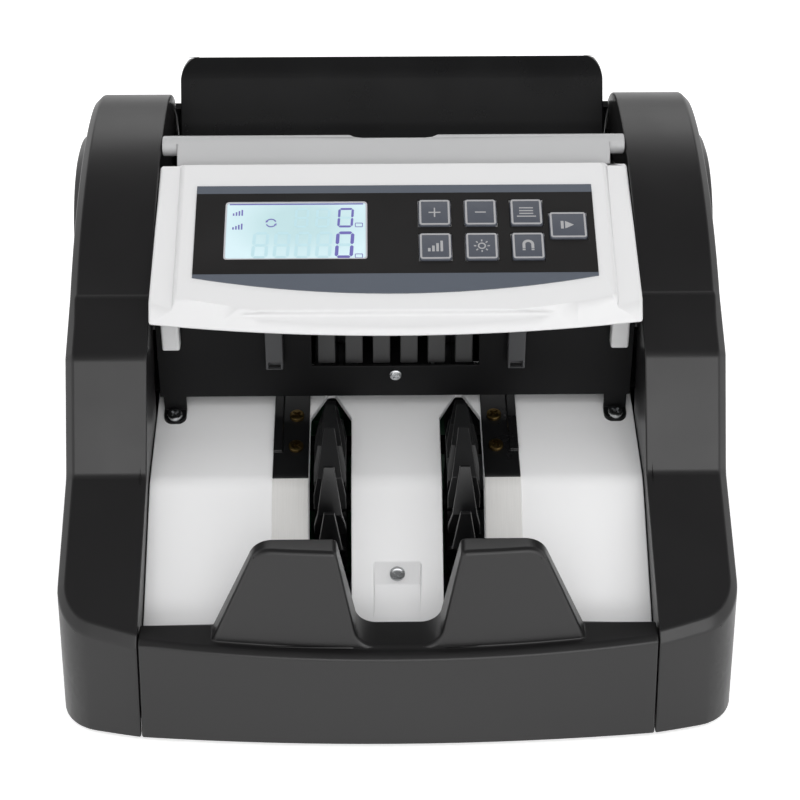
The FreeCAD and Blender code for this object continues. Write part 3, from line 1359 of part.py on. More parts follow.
def stripper_block():
    """Carrier with two stripper rollers bonded into its foot."""
    half_d = STRIPPER_D / 2
    body = block(-STRIPPER_HALF, STRIPPER_HALF, BLOCK_Y - half_d, BLOCK_Y + half_d, BLOCK_Z + 2.0, BLOCK_TOP)
    rolls = [rod(STRIPPER_R, STRIPPER_AXIS, ROLLER_X - STRIPPER_W / 2, ROLLER_X + STRIPPER_W / 2),
             rod(STRIPPER_R, STRIPPER_AXIS, -ROLLER_X - STRIPPER_W / 2, -ROLLER_X + STRIPPER_W / 2)]
    carrier = join([body] + rolls)
    pin = 2 * GUIDE_PIN_R
    bores = [Part.makeCylinder(GAP_SCREW_R + RUNNING_FIT, STRIPPER_H, Vec(0, BLOCK_Y, BLOCK_Z + 4.0))]
    for x in (-GUIDE_PIN_X, GUIDE_PIN_X):
        bores.append(solid_z(rectangle(x, BLOCK_Y, pin, pin, RUNNING_FIT), BLOCK_Z + 2.0, BLOCK_Z + 2.0 + STRIPPER_H))
    return carrier.cut(Part.makeCompound(bores))


def stripper_bridge():
    """Cross bar that holds the gap screw and the two guide pins of the stripper block."""
    half_d = STRIPPER_D / 2
    bar = block(-FRAME_X, FRAME_X, BLOCK_Y - half_d, BLOCK_Y + half_d, BRIDGE_Z, BRIDGE_Z + BRIDGE_H)
    pins = []
    for x in (-GUIDE_PIN_X, GUIDE_PIN_X):
        pins.append(solid_z(rectangle(x, BLOCK_Y, 2 * GUIDE_PIN_R, 2 * GUIDE_PIN_R), BLOCK_Z + 6.0, BRIDGE_Z))
    screw = Part.makeCylinder(GAP_SCREW_R + RUNNING_FIT, FAR, Vec(0, BLOCK_Y, BLOCK_Z))
    return join([bar] + pins).cut(screw)


def gap_knob():
    """Fluted knob on the screw that raises and lowers the stripper block."""
    top = BRIDGE_Z + BRIDGE_H
    foot = BLOCK_Z + SCREW_FOOT_Z
    stem = Part.makeCylinder(GAP_SCREW_R, top + KNOB_RISE - foot, Vec(0, BLOCK_Y, foot))
    sides = []
    for i in range(2 * KNOB_FLUTES):
        reach = KNOB_R if i % 2 else KNOB_R * 0.9
        angle = math.pi * i / KNOB_FLUTES
        sides.append((reach * math.cos(angle), BLOCK_Y + reach * math.sin(angle)))
    head = solid_z(sides, top + KNOB_RISE, top + KNOB_RISE + KNOB_H)
    return join([stem, head])


def save(name, shape):
    shape.exportStep(os.path.join("parts", name + ".step"))


def build():
    os.makedirs("parts", exist_ok=True)
    cover = right_side_cover()
    frame_left = mirrored(frame_plate())
    wheel = stacker_wheel()
    pieces = {
        "base_plate": base_plate(),
        "rubber_feet": rubber_feet(),
        "right_frame_plate": right_frame_plate(),
        "left_frame_plate": frame_left,
        "tie_rods": tie_rods(),
        "shaft_bushes": shaft_bushes(),
        "right_side_cover": cover,
        "left_side_cover": mirrored(cover),
        "front_cover": front_cover(),
        "rear_cover": rear_cover(),
        "cover_screws": cover_screws(),
        "control_panel": control_panel(),
        "keypad_overlay": keypad_overlay(),
        "display_module": display_module(),
        "control_board": control_board(),
        "note_guide_bar": note_guide_bar(),
        "hopper_plate": hopper_plate(),
        "stacker_plate": stacker_plate(),
        "slot_strips": slot_strips(),
        "strip_screws": strip_screws(),
        "wear_plates": wear_plates(),
        "throat_plate": throat_plate(),
        "plate_screws": plate_screws(),
        "guide_comb": guide_comb(),
        "sensor_posts": sensor_posts(),
        "lower_guide": lower_guide(),
        "stripper_bridge": stripper_bridge(),
        "stripper_block": stripper_block(),
        "gap_knob": gap_knob(),
        "main_motor": main_motor(),
        "motor_pulley": motor_pulley(),
        "drive_belts": drive_belts(),
        "drive_shaft": shaft(DRIVE_AXIS, SHAFT_END, SHAFT_END),
        "drive_rollers": both_sides(roller(DRIVE_R, DRIVE_W, DRIVE_AXIS, ROLLER_X)),
        "drive_pulleys": drive_pulleys(),
        "pinch_axle": rod(PINCH_AXLE_R, PINCH_AXIS, -FRAME_X, FRAME_X),
        "pinch_rollers": pinch_rollers(),
        "feed_shaft": shaft(FEED_AXIS, NEAR_X + PULLEY_W, SHAFT_END),
        "feed_rollers": both_sides(roller(FEED_R, FEED_W, FEED_AXIS, ROLLER_X)),
        "feed_pulleys": feed_pulleys(),
        "kick_shaft": kick_shaft(),
        "kick_rollers": both_sides(roller(KICK_R, KICK_W, KICK_AXIS, KICK_X)),
        "stacker_shaft": shaft(WHEEL_AXIS, SHAFT_END, FRAME_OUT + 3.0),
        "stacker_wheels": both_sides(wheel),
        "stacker_pulley": left_pulley(STACK_PULLEY_R, WHEEL_AXIS, FAR_X),
        "main_board": main_board(),
        "power_inlet": power_inlet(),
        "switch_housing": switch_housing(),
        "power_rocker": power_rocker(),
    }
    for name, u, v, width in key_places():
        pieces[name] = key(u, v, width)
    for name, shape in pieces.items():
        save(name, shape)


build()
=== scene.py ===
import bmesh
import bpy
import json
import math
from functools import partial
from mathutils import Matrix, Vector


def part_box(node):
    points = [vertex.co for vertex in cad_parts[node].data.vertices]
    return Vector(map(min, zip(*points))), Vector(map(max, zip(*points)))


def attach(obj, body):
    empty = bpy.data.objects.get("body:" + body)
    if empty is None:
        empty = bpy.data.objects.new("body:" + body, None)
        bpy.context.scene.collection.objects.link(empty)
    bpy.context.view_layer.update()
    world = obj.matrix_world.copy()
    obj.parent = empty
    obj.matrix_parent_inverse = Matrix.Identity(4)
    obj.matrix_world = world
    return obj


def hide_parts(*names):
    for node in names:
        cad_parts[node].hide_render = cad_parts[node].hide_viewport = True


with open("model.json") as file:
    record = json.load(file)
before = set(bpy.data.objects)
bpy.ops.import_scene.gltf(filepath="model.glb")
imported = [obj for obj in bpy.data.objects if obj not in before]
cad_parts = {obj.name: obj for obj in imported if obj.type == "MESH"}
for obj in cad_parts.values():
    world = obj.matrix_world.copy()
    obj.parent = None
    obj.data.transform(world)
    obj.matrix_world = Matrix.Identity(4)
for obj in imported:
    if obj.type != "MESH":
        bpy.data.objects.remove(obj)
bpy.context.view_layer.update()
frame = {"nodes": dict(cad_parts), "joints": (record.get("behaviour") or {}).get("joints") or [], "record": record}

bl_info = {
    "name": "Banknote counter",
    "version": (1, 0, 0),
    "blender": (4, 5, 0),
    "location": "3D View > Sidebar > Counter",
    "description": "Dresses the counting machine and sets its studio",
    "category": "Object",
}

MM = 0.001
WELD = 0.01 * MM
FLAT = math.radians(0.5)

# The slope of the control panel: across it, up it and out of it
PRESS = next(joint for joint in frame["joints"] if joint["name"] == "key_plus_press")
OUT = -Vector(PRESS["axis"]).normalized()
ACROSS = Vector((1, 0, 0))
UP = OUT.cross(ACROSS)
SLOPE = Matrix((ACROSS, UP, OUT)).transposed().to_4x4()

# Print on the display, in shares of the glass from its top left corner
SMALL_ZERO = (0.787, 0.111, 0.897, 0.449)
LARGE_ZERO = (0.770, 0.519, 0.897, 0.975)
TOP_LINE = (0.03, 0.03, 0.97, 0.05)
SMALL_GHOSTS = ((0.484, 0.111, 0.584, 0.449), (0.632, 0.111, 0.732, 0.449))
LARGE_GHOSTS = ((0.190, 0.519, 0.305, 0.975), (0.340, 0.519, 0.455, 0.975),
                (0.488, 0.519, 0.600, 0.975), (0.634, 0.519, 0.746, 0.975))
SIGNALS = ((0.05, 0.135, 0.13, 0.235), (0.05, 0.375, 0.13, 0.475))
ARROW_RING = (0.29, 0.30, 0.36, 0.43)
NOTES = ((0.915, 0.375, 0.965, 0.44), (0.915, 0.905, 0.965, 0.97))
DIGIT_LEAN = 0.055
SEVEN = "abcdefg"
ZERO = "abcdef"

# Point in the middle of the machine that the lamps look at
LIGHT_AIM = Vector((0.0, 0.0, 0.09))


def body_of(node):
    """Name of the body that carries a node."""
    for body, members in frame["record"]["behaviour"]["bodies"].items():
        if node in members:
            return body
    raise RuntimeError("no body carries " + node)


def box_of(spots):
    """Lowest and highest corner of a list of points."""
    return [Vector([pick(spot[k] for spot in spots) for k in range(3)]) for pick in (min, max)]


def slope_box(node):
    """Lowest and highest corner of a node, measured across, up and out of the panel's slope."""
    return box_of([SLOPE.transposed() @ v.co for v in frame["nodes"][node].data.vertices])


# Pieces

def linked(name, data):
    """New object in the scene."""
    holder = bpy.data.objects.new(name, data)
    bpy.context.scene.collection.objects.link(holder)
    return holder


def add_piece(mesh, finish_name, node, place=Matrix()):
    """Links a mesh as a piece of its name that rides with a node's body, with the finish as its material."""
    piece = linked(mesh.name, mesh)
    piece.matrix_world = place
    material = finish(finish_name)
    mesh.materials.append(material)
    body = body_of(node)
    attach(piece, body)
    return piece


def smooth(mesh, angle=35):
    """Smooth shading that breaks at edges sharper than an angle in degrees."""
    mesh.shade_smooth()
    mesh.set_sharp_from_angle(angle=math.radians(angle))


def shade(piece):
    """Smooths a piece, and keeps broad faces flat to the eye where rounded edges meet them."""
    smooth(piece.data)
    weighted = piece.modifiers.new("even_shading", "WEIGHTED_NORMAL")
    weighted.keep_sharp = True
    weighted.weight = 80


def opened(mesh, weld=True):
    """Mesh opened for work; corners that share a place are joined unless told otherwise."""
    work = bmesh.new()
    work.from_mesh(mesh)
    if weld:
        bmesh.ops.remove_doubles(work, verts=work.verts, dist=WELD)
    return work


def bench_mesh(node):
    """Copy of a node's mesh, welded, with its flat areas made into single faces."""
    mesh = frame["nodes"][node].data.copy()
    mesh.name = node + "_shell"
    mesh.materials.clear()
    work = opened(mesh)
    bmesh.ops.dissolve_limit(work, angle_limit=FLAT, verts=work.verts, edges=work.edges)
    work.to_mesh(mesh)
    work.free()
    return mesh


def rounded_edges(piece, width, steps, angle):
    """Rounds the sharp edges of a piece and applies the result to its mesh."""
    bevel = piece.modifiers.new("rounding", "BEVEL")
    bevel.width = width
    bevel.segments = steps
    bevel.limit_method = "ANGLE"
    bevel.angle_limit = math.radians(angle)
    bevel.use_clamp_overlap = False
    bevel.miter_outer = "MITER_ARC"
    apply_modifiers(piece)


def apply_modifiers(piece):
    """Puts the result of a piece's modifiers into its mesh."""
    bpy.context.view_layer.update()
    evaluated = piece.evaluated_get(bpy.context.evaluated_depsgraph_get())
    mesh = bpy.data.meshes.new_from_object(evaluated)
    piece.modifiers.clear()
    piece.data = mesh


def soften(node, finish_name, width, steps=2, angle=25):
    """Stands a copy with rounded edges in the place of a node."""
    piece = add_piece(bench_mesh(node), finish_name, node)
    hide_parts(node)
    rounded_edges(piece, width, steps, angle)
    shade(piece)
    return piece


def paint(node, finish_name):
    """Gives a node that keeps its own shape a finish."""
    holder = frame["nodes"][node]
    material = finish(finish_name)
    if not holder.material_slots:
        holder.data.materials.append(material)
    for slot in holder.material_slots:
        slot.material = material


def carve(piece, shape, place=Matrix()):
    """Cuts a closed mesh out of a piece."""
    cutter = linked("cutter", shape)
    cutter.matrix_world = place
    cut = piece.modifiers.new("carving", "BOOLEAN")
    cut.operation = "DIFFERENCE"
    cut.object = cutter
    apply_modifiers(piece)
    bpy.data.objects.remove(cutter)


# Meshes drawn from outlines

def mesh_from(name, spots, faces, weld=False):
    """Mesh with its faces turned outward."""
    mesh = bpy.data.meshes.new(name)
    mesh.from_pydata([tuple(s) for s in spots], [], faces)
    work = opened(mesh, weld)
    bmesh.ops.recalc_face_normals(work, faces=work.faces)
    work.to_mesh(mesh)
    work.free()
    return mesh


def rounded_rectangle(low, high, radius, inset=0.0, steps=6):
    """Outline with round corners, counted against the clock."""
    corner = max(radius - inset, 0.05 * MM)
    x0 = low[0] + inset + corner
    x1 = high[0] - inset - corner
    y0 = low[1] + inset + corner
    y1 = high[1] - inset - corner
    points = []
    for turn, (x, y) in enumerate(((x1, y1), (x0, y1), (x0, y0), (x1, y0))):
        for i in range(steps + 1):
            angle = math.pi / 2 * (turn + i / steps)
            points.append((x + corner * math.cos(angle), y + corner * math.sin(angle)))
    return points


def wall(below, above, count):
    """Faces between two closed rows of corners, each given by its first corner."""
    return [(below + i, below + (i + 1) % count, above + (i + 1) % count, above + i) for i in range(count)]


def stacked(name, rings):
    """Closed solid through outlines at rising heights."""
    count = len(rings[0][0])
    spots = [(x, y, height) for outline, height in rings for x, y in outline]
    last = len(spots) - count
    faces = [list(range(count))[::-1], list(range(last, last + count))]
    for below in range(0, last, count):
        faces += wall(below, below + count, count)
    return mesh_from(name, spots, faces)


def flat_marks(name, outlines, low, high):
    """Thin solids of one height over several outlines."""
    spots = []
    faces = []
    for outline in outlines:
        count = len(outline)
        base = len(spots)
        top = base + count
        spots += [(x, y, z) for z in (low, high) for x, y in outline]
        faces += [list(range(base, top))[::-1], list(range(top, top + count))]
        faces += wall(base, top, count)
    return mesh_from(name, spots, faces)


def flat_ring(name, outer, inner, low, high):
    """Thin closed frame between two outlines with as many points."""
    count = len(outer)
    spots = [(x, y, z) for z in (low, high) for loop in (outer, inner) for x, y in loop]
    faces = []
    for first, second in ((0, 1), (2, 3), (0, 2), (1, 3)):
        faces += wall(first * count, second * count, count)
    return mesh_from(name, spots, faces)


def turned(name, profile, centre, axis=ACROSS, steps=72, weld=False):
    """Solid of revolution: profile pairs give distance along the axis and radius."""
    side = axis.orthogonal().normalized()
    third = axis.cross(side)
    spots = []
    for distance, radius in profile:
        for i in range(steps):
            angle = 2 * math.pi * i / steps
            arm = side * math.cos(angle) + third * math.sin(angle)
            spots.append(Vector(centre) + axis * distance + arm * radius)
    faces = []
    for level in range(len(profile)):
        faces += wall(level * steps, (level + 1) % len(profile) * steps, steps)
    return mesh_from(name, spots, faces, weld)


def islands(node):
    """Corner lists of the separate solids in a node."""
    work = opened(frame["nodes"][node].data)
    found = []
    seen = set()
    for first in work.verts:
        if first in seen:
            continue
        seen.add(first)
        front = [first]
        group = []
        while front:
            here = front.pop()
            group.append(here.co.copy())
            for edge in here.link_edges:
                other = edge.other_vert(here)
                if other not in seen:
                    seen.add(other)
                    front.append(other)
        found.append(group)
    work.free()
    return sorted(found, key=lambda g: tuple(round(c, 5) for c in sum(g, Vector()) / len(g)))


# Shader nodes

def feed(tree, node, given):
    """Fills inputs of a node by name or place: an output is linked, anything else is a value."""
    for label, value in given.items():
        if isinstance(value, bpy.types.NodeSocket):
            tree.links.new(value, node.inputs[label])
        else:
            node.inputs[label].default_value = value


def put(tree, kind, given=None, **settings):
    """Adds a node with its settings and inputs."""
    node = tree.nodes.new(kind)
    for key, value in settings.items():
        setattr(node, key, value)
    feed(tree, node, given or {})
    return node


def put_group(tree, name, **given):
    """Places a shared group, with its inputs by name; returns its outputs."""
    return put(tree, "ShaderNodeGroup", given, node_tree=bpy.data.node_groups[name]).outputs


def coordinates(tree, kind="Object"):
    return put(tree, "ShaderNodeTexCoord").outputs[kind]


def noise(tree, place, scale, detail, roughness=0.5):
    given = {"Vector": place, "Scale": scale, "Detail": detail, "Roughness": roughness}
    return put(tree, "ShaderNodeTexNoise", given).outputs["Fac"]


def maths(tree, operation, first, second, **settings):
    node = put(tree, "ShaderNodeMath", {0: first, 1: second}, operation=operation, **settings)
    return node.outputs["Value"]


def vector_maths(tree, operation, first, second=(0.0, 0.0, 0.0), result="Vector"):
    return put(tree, "ShaderNodeVectorMath", {0: first, 1: second}, operation=operation).outputs[result]


def part_z(tree, vector):
    return put(tree, "ShaderNodeSeparateXYZ", {"Vector": vector}).outputs["Z"]


def rescaled(tree, value, low, high, to_low=0.0, to_high=1.0, **settings):
    """Value moved from one span to another."""
    given = {"Value": value, "From Min": low, "From Max": high, "To Min": to_low, "To Max": to_high}
    return put(tree, "ShaderNodeMapRange", given, **settings).outputs["Result"]


def mixed(tree, share, first, second):
    """Colour between two others, by the places that colours have among a mix node's sockets."""
    return put(tree, "ShaderNodeMix", {"Factor": share, 6: first, 7: second}, data_type="RGBA").outputs[2]


def graded(tree, share, stops, interpolation="LINEAR"):
    """Colour that follows a value through two or more stops of place and colour."""
    node = put(tree, "ShaderNodeValToRGB", {"Fac": share})
    elements = node.color_ramp.elements
    node.color_ramp.interpolation = interpolation
    for element, (place, colour) in zip(elements, stops):
        element.position = place
        element.color = rgba(colour)
    for place, colour in stops[2:]:
        elements.new(place).color = rgba(colour)
    return node.outputs["Color"]


# Groups of nodes that several finishes share

FLOAT = "NodeSocketFloat"
COLOUR = "NodeSocketColor"
VECTOR = "NodeSocketVector"
BLACK = (0.0, 0.0, 0.0, 1.0)
WHITE = (1.0, 1.0, 1.0, 1.0)


def new_group(name, inputs, outputs):
    """Empty group with named sockets: its tree, what it is given and its end node."""
    tree = bpy.data.node_groups.new(name, "ShaderNodeTree")
    for label, kind, default in inputs:
        socket = tree.interface.new_socket(name=label, in_out="INPUT", socket_type=kind)
        socket.default_value = default
    for label, kind in outputs:
        tree.interface.new_socket(name=label, in_out="OUTPUT", socket_type=kind)
    return tree, put(tree, "NodeGroupInput").outputs, put(tree, "NodeGroupOutput")


def moulded_grain_group():
    """Fine texture of a moulding tool."""
    tree, given, end = new_group("moulded_grain", [("Grain", FLOAT, 900.0)], [("Height", FLOAT)])
    feed(tree, end, {"Height": noise(tree, coordinates(tree), given["Grain"], 3.0, 0.65)})


def tone_drift_group():
    """Colour that drifts slowly between two tones."""
    inputs = [("Deep", COLOUR, BLACK), ("Pale", COLOUR, WHITE), ("Patch", FLOAT, 14.0)]
    tree, given, end = new_group("tone_drift", inputs, [("Color", COLOUR)])
    cloud = noise(tree, coordinates(tree), given["Patch"], 4.0, 0.55)
    feed(tree, end, {"Color": mixed(tree, cloud, given["Deep"], given["Pale"])})


def handling_group():
    """Roughness that wanders between a worn and a fresh value."""
    inputs = [("Worn", FLOAT, 0.3), ("Fresh", FLOAT, 0.5), ("Patch", FLOAT, 30.0)]
    tree, given, end = new_group("handling", inputs, [("Roughness", FLOAT)])
    cloud = noise(tree, coordinates(tree), given["Patch"], 5.0, 0.6)
    feed(tree, end, {"Roughness": rescaled(tree, cloud, 0.3, 0.7, given["Worn"], given["Fresh"])})


def brushed_lines_group():
    """Long fine scratches along one direction."""
    inputs = [("Way", VECTOR, (1.0, 60.0, 60.0)), ("Fineness", FLOAT, 60.0)]
    tree, given, end = new_group("brushed_lines", inputs, [("Height", FLOAT), ("Streak", FLOAT)])
    stretched = vector_maths(tree, "MULTIPLY", coordinates(tree), given["Way"])
    lines = noise(tree, stretched, given["Fineness"], 4.0, 0.7)
    feed(tree, end, {"Height": lines, "Streak": rescaled(tree, lines, 0.35, 0.65)})


def settled_dust_group():
    """Thin pale dust on faces that look upward."""
    inputs = [("Color", COLOUR, BLACK), ("Dust", COLOUR, (0.4, 0.4, 0.4, 1.0)), ("Amount", FLOAT, 0.05)]
    tree, given, end = new_group("settled_dust", inputs, [("Color", COLOUR)])
    upward = part_z(tree, put(tree, "ShaderNodeNewGeometry").outputs["Normal"])
    lying = maths(tree, "MULTIPLY", upward, noise(tree, coordinates(tree), 45.0, 6.0), use_clamp=True)
    share = maths(tree, "MULTIPLY", lying, given["Amount"])
    feed(tree, end, {"Color": mixed(tree, share, given["Color"], given["Dust"])})


# Finishes

def rgba(colour, share=1.0):
    return tuple(c * share for c in colour[:3]) + (1.0,)


def new_finish(name, slot):
    """Material with a bare shader; returns its tree and shader."""
    material = bpy.data.materials.new(name)
    material.use_nodes = True
    material["slot"] = slot
    return material.node_tree, material.node_tree.nodes["Principled BSDF"]


def add_bump(tree, shader, height, depth):
    bump = put(tree, "ShaderNodeBump", {"Strength": 1.0, "Distance": depth, "Height": height})
    feed(tree, shader, {"Normal": bump.outputs["Normal"]})


def moulded(name, colour, spread, worn, fresh, grain, depth, dust, slot=None, shine=0.5):
    """Moulded plastic or rubber with drifting tone, fine grain and a little dust."""
    tree, shader = new_finish(name, slot or name)
    tone = put_group(tree, "tone_drift", Deep=rgba(colour, 1 - spread), Pale=rgba(colour, 1 + spread))
    film = put_group(tree, "settled_dust", Color=tone["Color"], Dust=(0.45, 0.45, 0.46, 1.0), Amount=dust)
    touch = put_group(tree, "handling", Worn=worn, Fresh=fresh)
    feed(tree, shader, {"Base Color": film["Color"], "Roughness": touch["Roughness"],
                        "Specular IOR Level": shine})
    add_bump(tree, shader, put_group(tree, "moulded_grain", Grain=grain)["Height"], depth * MM)


def worked_metal(name, colour, spread, worn, fresh, way, depth, slot=None, metal=1.0):
    """Bare metal with fine lines along one direction."""
    tree, shader = new_finish(name, slot or name)
    lines = put_group(tree, "brushed_lines", Way=way)
    tone = mixed(tree, lines["Streak"], rgba(colour, 1 - spread), rgba(colour, 1 + spread))
    touch = put_group(tree, "handling", Worn=worn, Fresh=fresh, Patch=80.0)
    feed(tree, shader, {"Base Color": tone, "Roughness": touch["Roughness"], "Metallic": metal})
    add_bump(tree, shader, lines["Height"], depth * MM)


def printed_sheet(look):
    """Printed keypad sheet: a coloured band at the top, a black field and a coloured foot."""
    tree, shader = new_finish("printed_sheet", "printed_sheet")
    low, high = slope_box("keypad_overlay")
    height = high[1] - low[1]
    along = vector_maths(tree, "DOT_PRODUCT", coordinates(tree), UP, "Value")
    stops = ((0.0, look.band), (look.foot_band / height, look.field), (1 - look.top_band / height, look.band))
    bands = graded(tree, rescaled(tree, along, low[1], high[1]), stops, "CONSTANT")
    film = put_group(tree, "settled_dust", Color=bands, Amount=0.008)
    touch = put_group(tree, "handling", Worn=0.32, Fresh=0.42)
    feed(tree, shader, {"Base Color": film["Color"], "Roughness": touch["Roughness"]})
    add_bump(tree, shader, put_group(tree, "moulded_grain", Grain=2600.0)["Height"], 0.004 * MM)


def display_ground(look):
    """Back-lit ground of the display, paler towards its rim."""
    tree, shader = new_finish("display_ground", "display_glass")
    glow_middle = (0.52, 0.62, 0.5)
    glow_shape = (1.0, 0.8, 0.0)
    centred = vector_maths(tree, "SUBTRACT", coordinates(tree, "Generated"), glow_middle)
    shaped = vector_maths(tree, "MULTIPLY", centred, glow_shape)
    reach = vector_maths(tree, "LENGTH", shaped, result="Value")
    tone = graded(tree, reach, ((0.2, look.ground), (0.56, look.ground_rim)))
    touch = put_group(tree, "handling", Worn=0.12, Fresh=0.2)
    feed(tree, shader, {"Base Color": tone, "Roughness": touch["Roughness"], "Emission Color": tone,
                        "Emission Strength": look.backlight})


def make_finishes(look):
    """Makes the shared groups and then every finish."""
    for make in (moulded_grain_group, tone_drift_group, handling_group, brushed_lines_group,
                 settled_dust_group):
        make()
    cover = look.covers
    sheet = look.panel
    # Name, colour, spread of tone, worn and fresh roughness, grain, its depth in mm, dust, slot, shine
    for row in (
            ("charcoal_plastic", cover.charcoal, 0.10, 0.30, 0.38, 1500.0, 0.009, 0.006),
            ("white_plastic", cover.white, 0.012, 0.34, 0.46, 900.0, 0.008, 0.0),
            # Painted light: the stacker plate is the panel's white plastic made brighter, standing in for the
            # light that falls into the bay
            ("bay_plastic", cover.bay, 0.012, 0.34, 0.46, 900.0, 0.008, 0.0, "white_plastic"),
            ("silver_plastic", cover.silver, 0.05, 0.30, 0.42, 1400.0, 0.010, 0.0),
            ("black_plastic", cover.black, 0.15, 0.24, 0.36, 1300.0, 0.010, 0.006),
            ("black_steel", cover.black, 0.20, 0.36, 0.50, 700.0, 0.012, 0.002, None, 0.16),
            ("grey_paint", (0.22, 0.23, 0.24), 0.06, 0.40, 0.55, 800.0, 0.015, 0.05),
            ("key_rubber", sheet.key, 0.05, 0.42, 0.55, 2200.0, 0.006, 0.0),
            ("roller_rubber", (0.028, 0.028, 0.030), 0.20, 0.65, 0.80, 1100.0, 0.03, 0.08),
            ("wheel_plastic", cover.black, 0.20, 0.26, 0.42, 1200.0, 0.012, 0.01),
            ("rubber", (0.018, 0.018, 0.019), 0.20, 0.70, 0.85, 900.0, 0.03, 0.10),
            ("board_green", (0.03, 0.16, 0.07), 0.12, 0.30, 0.45, 500.0, 0.01, 0.03),
            ("display_bezel", (0.55, 0.55, 0.58), 0.04, 0.30, 0.40, 1800.0, 0.004, 0.0, "display_glass"),
            ("display_lit", sheet.lit, 0.04, 0.30, 0.40, 1800.0, 0.002, 0.0, "display_glass"),
            ("display_unlit", sheet.unlit, 0.02, 0.30, 0.40, 1800.0, 0.002, 0.0, "display_glass"),
            ("display_module", (0.02, 0.02, 0.022), 0.10, 0.3, 0.4, 900.0, 0.004, 0.0, "display_glass"),
            ("key_print", sheet.legend, 0.04, 0.40, 0.50, 2200.0, 0.004, 0.0, "key_rubber"),
            ("rib_plastic", (0.058, 0.058, 0.059), 0.06, 0.35, 0.48, 1200.0, 0.01, 0.0, "black_plastic"),
            ("post_plastic", (0.062, 0.063, 0.066), 0.08, 0.32, 0.45, 1200.0, 0.01, 0.0, "silver_plastic")):
        moulded(*row)
    # Name, colour, spread of tone, worn and fresh roughness, way of the lines, their depth in mm, slot, metal
    for row in (
            ("plain_steel", (0.56, 0.57, 0.58), 0.12, 0.22, 0.34, (1.0, 40.0, 40.0), 0.006),
            # Painted reflection: the wear plates' steel has a pale colour and little metal, so that lamp light on
            # it stands in for the bright surroundings it would mirror
            ("wear_steel", (0.90, 0.89, 0.87), 0.03, 0.34, 0.44, (50.0, 1.0, 1.0), 0.003,
             "plain_steel", 0.35),
            ("brass", (0.20, 0.135, 0.05), 0.22, 0.36, 0.50, (30.0, 30.0, 30.0), 0.01),
            ("aluminium", (0.66, 0.67, 0.68), 0.10, 0.28, 0.42, (1.0, 40.0, 40.0), 0.008)):
        worked_metal(*row)
    printed_sheet(sheet)
    display_ground(sheet)


def finish(name):
    """A finish by name; all of them are made at the first call."""
    if name not in bpy.data.materials or "slot" not in bpy.data.materials[name]:
        for old in list(bpy.data.materials):
            old.name = "packed_" + old.name
        make_finishes(bpy.context.scene.counter_look)
    return bpy.data.materials[name]


# What a user may change

def colour_value(name, description, default):
    return bpy.props.FloatVectorProperty(name=name, description=description, default=default, size=3,
                                         min=0.0, max=1.0, subtype="COLOR")


def number_value(name, description, default, **kind):
    return bpy.props.FloatProperty(name=name, description=description, default=default, **kind)


length_value = partial(number_value, min=0.0, subtype="DISTANCE", unit="LENGTH")
power_value = partial(number_value, min=0.0, subtype="POWER", unit="POWER")
share_value = partial(number_value, min=0.0, max=1.0, subtype="FACTOR")
angle_value = partial(number_value, subtype="ANGLE", unit="ROTATION")


class CounterCovers(bpy.types.PropertyGroup):
    """Colours and edges of the covers."""
    charcoal: colour_value("Charcoal", "Colour of the side and front covers", (0.0105, 0.0101, 0.0105))
    white: colour_value("White", "Colour of the panel", (0.77, 0.77, 0.775))
    # Painted light: the stacker plate's colour is the panel's white made brighter for the light falling into the
    # bay
    bay: colour_value("Bay", "Colour of the stacker plate", (0.86, 0.86, 0.865))
    silver: colour_value("Silver", "Colour of the note guide bar", (0.485, 0.487, 0.492))
    black: colour_value("Black", "Colour of the black plates and wheels", (0.0045, 0.0045, 0.0049))
    edge: length_value("Cover edge", "Rounding of the cover edges", 0.8 * MM)
    fine_edge: length_value("Fine edge", "Rounding of small mouldings", 0.5 * MM)


class CounterPanel(bpy.types.PropertyGroup):
    """Print, keys and display of the control panel."""
    band: colour_value("Band", "Printed bands of the keypad sheet", (0.102, 0.117, 0.144))
    field: colour_value("Field", "Dark field of the keypad sheet", (0.0115, 0.0108, 0.0108))
    key: colour_value("Key", "Colour of the keys", (0.080, 0.088, 0.110))
    legend: colour_value("Legend", "Print on the keys", (0.40, 0.40, 0.41))
    lit: colour_value("Lit", "Lit segments of the display", (0.17, 0.155, 0.47))
    unlit: colour_value("Unlit", "Unlit segments of the display", (0.54, 0.77, 0.83))
    ground: colour_value("Ground", "Middle of the display", (0.54, 0.74, 0.77))
    ground_rim: colour_value("Ground rim", "Rim of the display", (0.70, 0.88, 0.93))
    top_band: length_value("Top band", "Height of the upper printed band", 4.0 * MM)
    foot_band: length_value("Foot band", "Height of the lower printed band", 9.3 * MM)
    key_corner: length_value("Key corner", "Corner radius of a key", 1.4 * MM)
    frame_line: length_value("Key frame", "Width of the printed frame round a key", 0.75 * MM)
    stroke: length_value("Stroke", "Line width of the marks on the keys", 0.55 * MM)
    print_height: length_value("Print height", "Thickness of the print", 0.05 * MM)
    backlight: share_value("Backlight", "Glow of the display", 0.05)


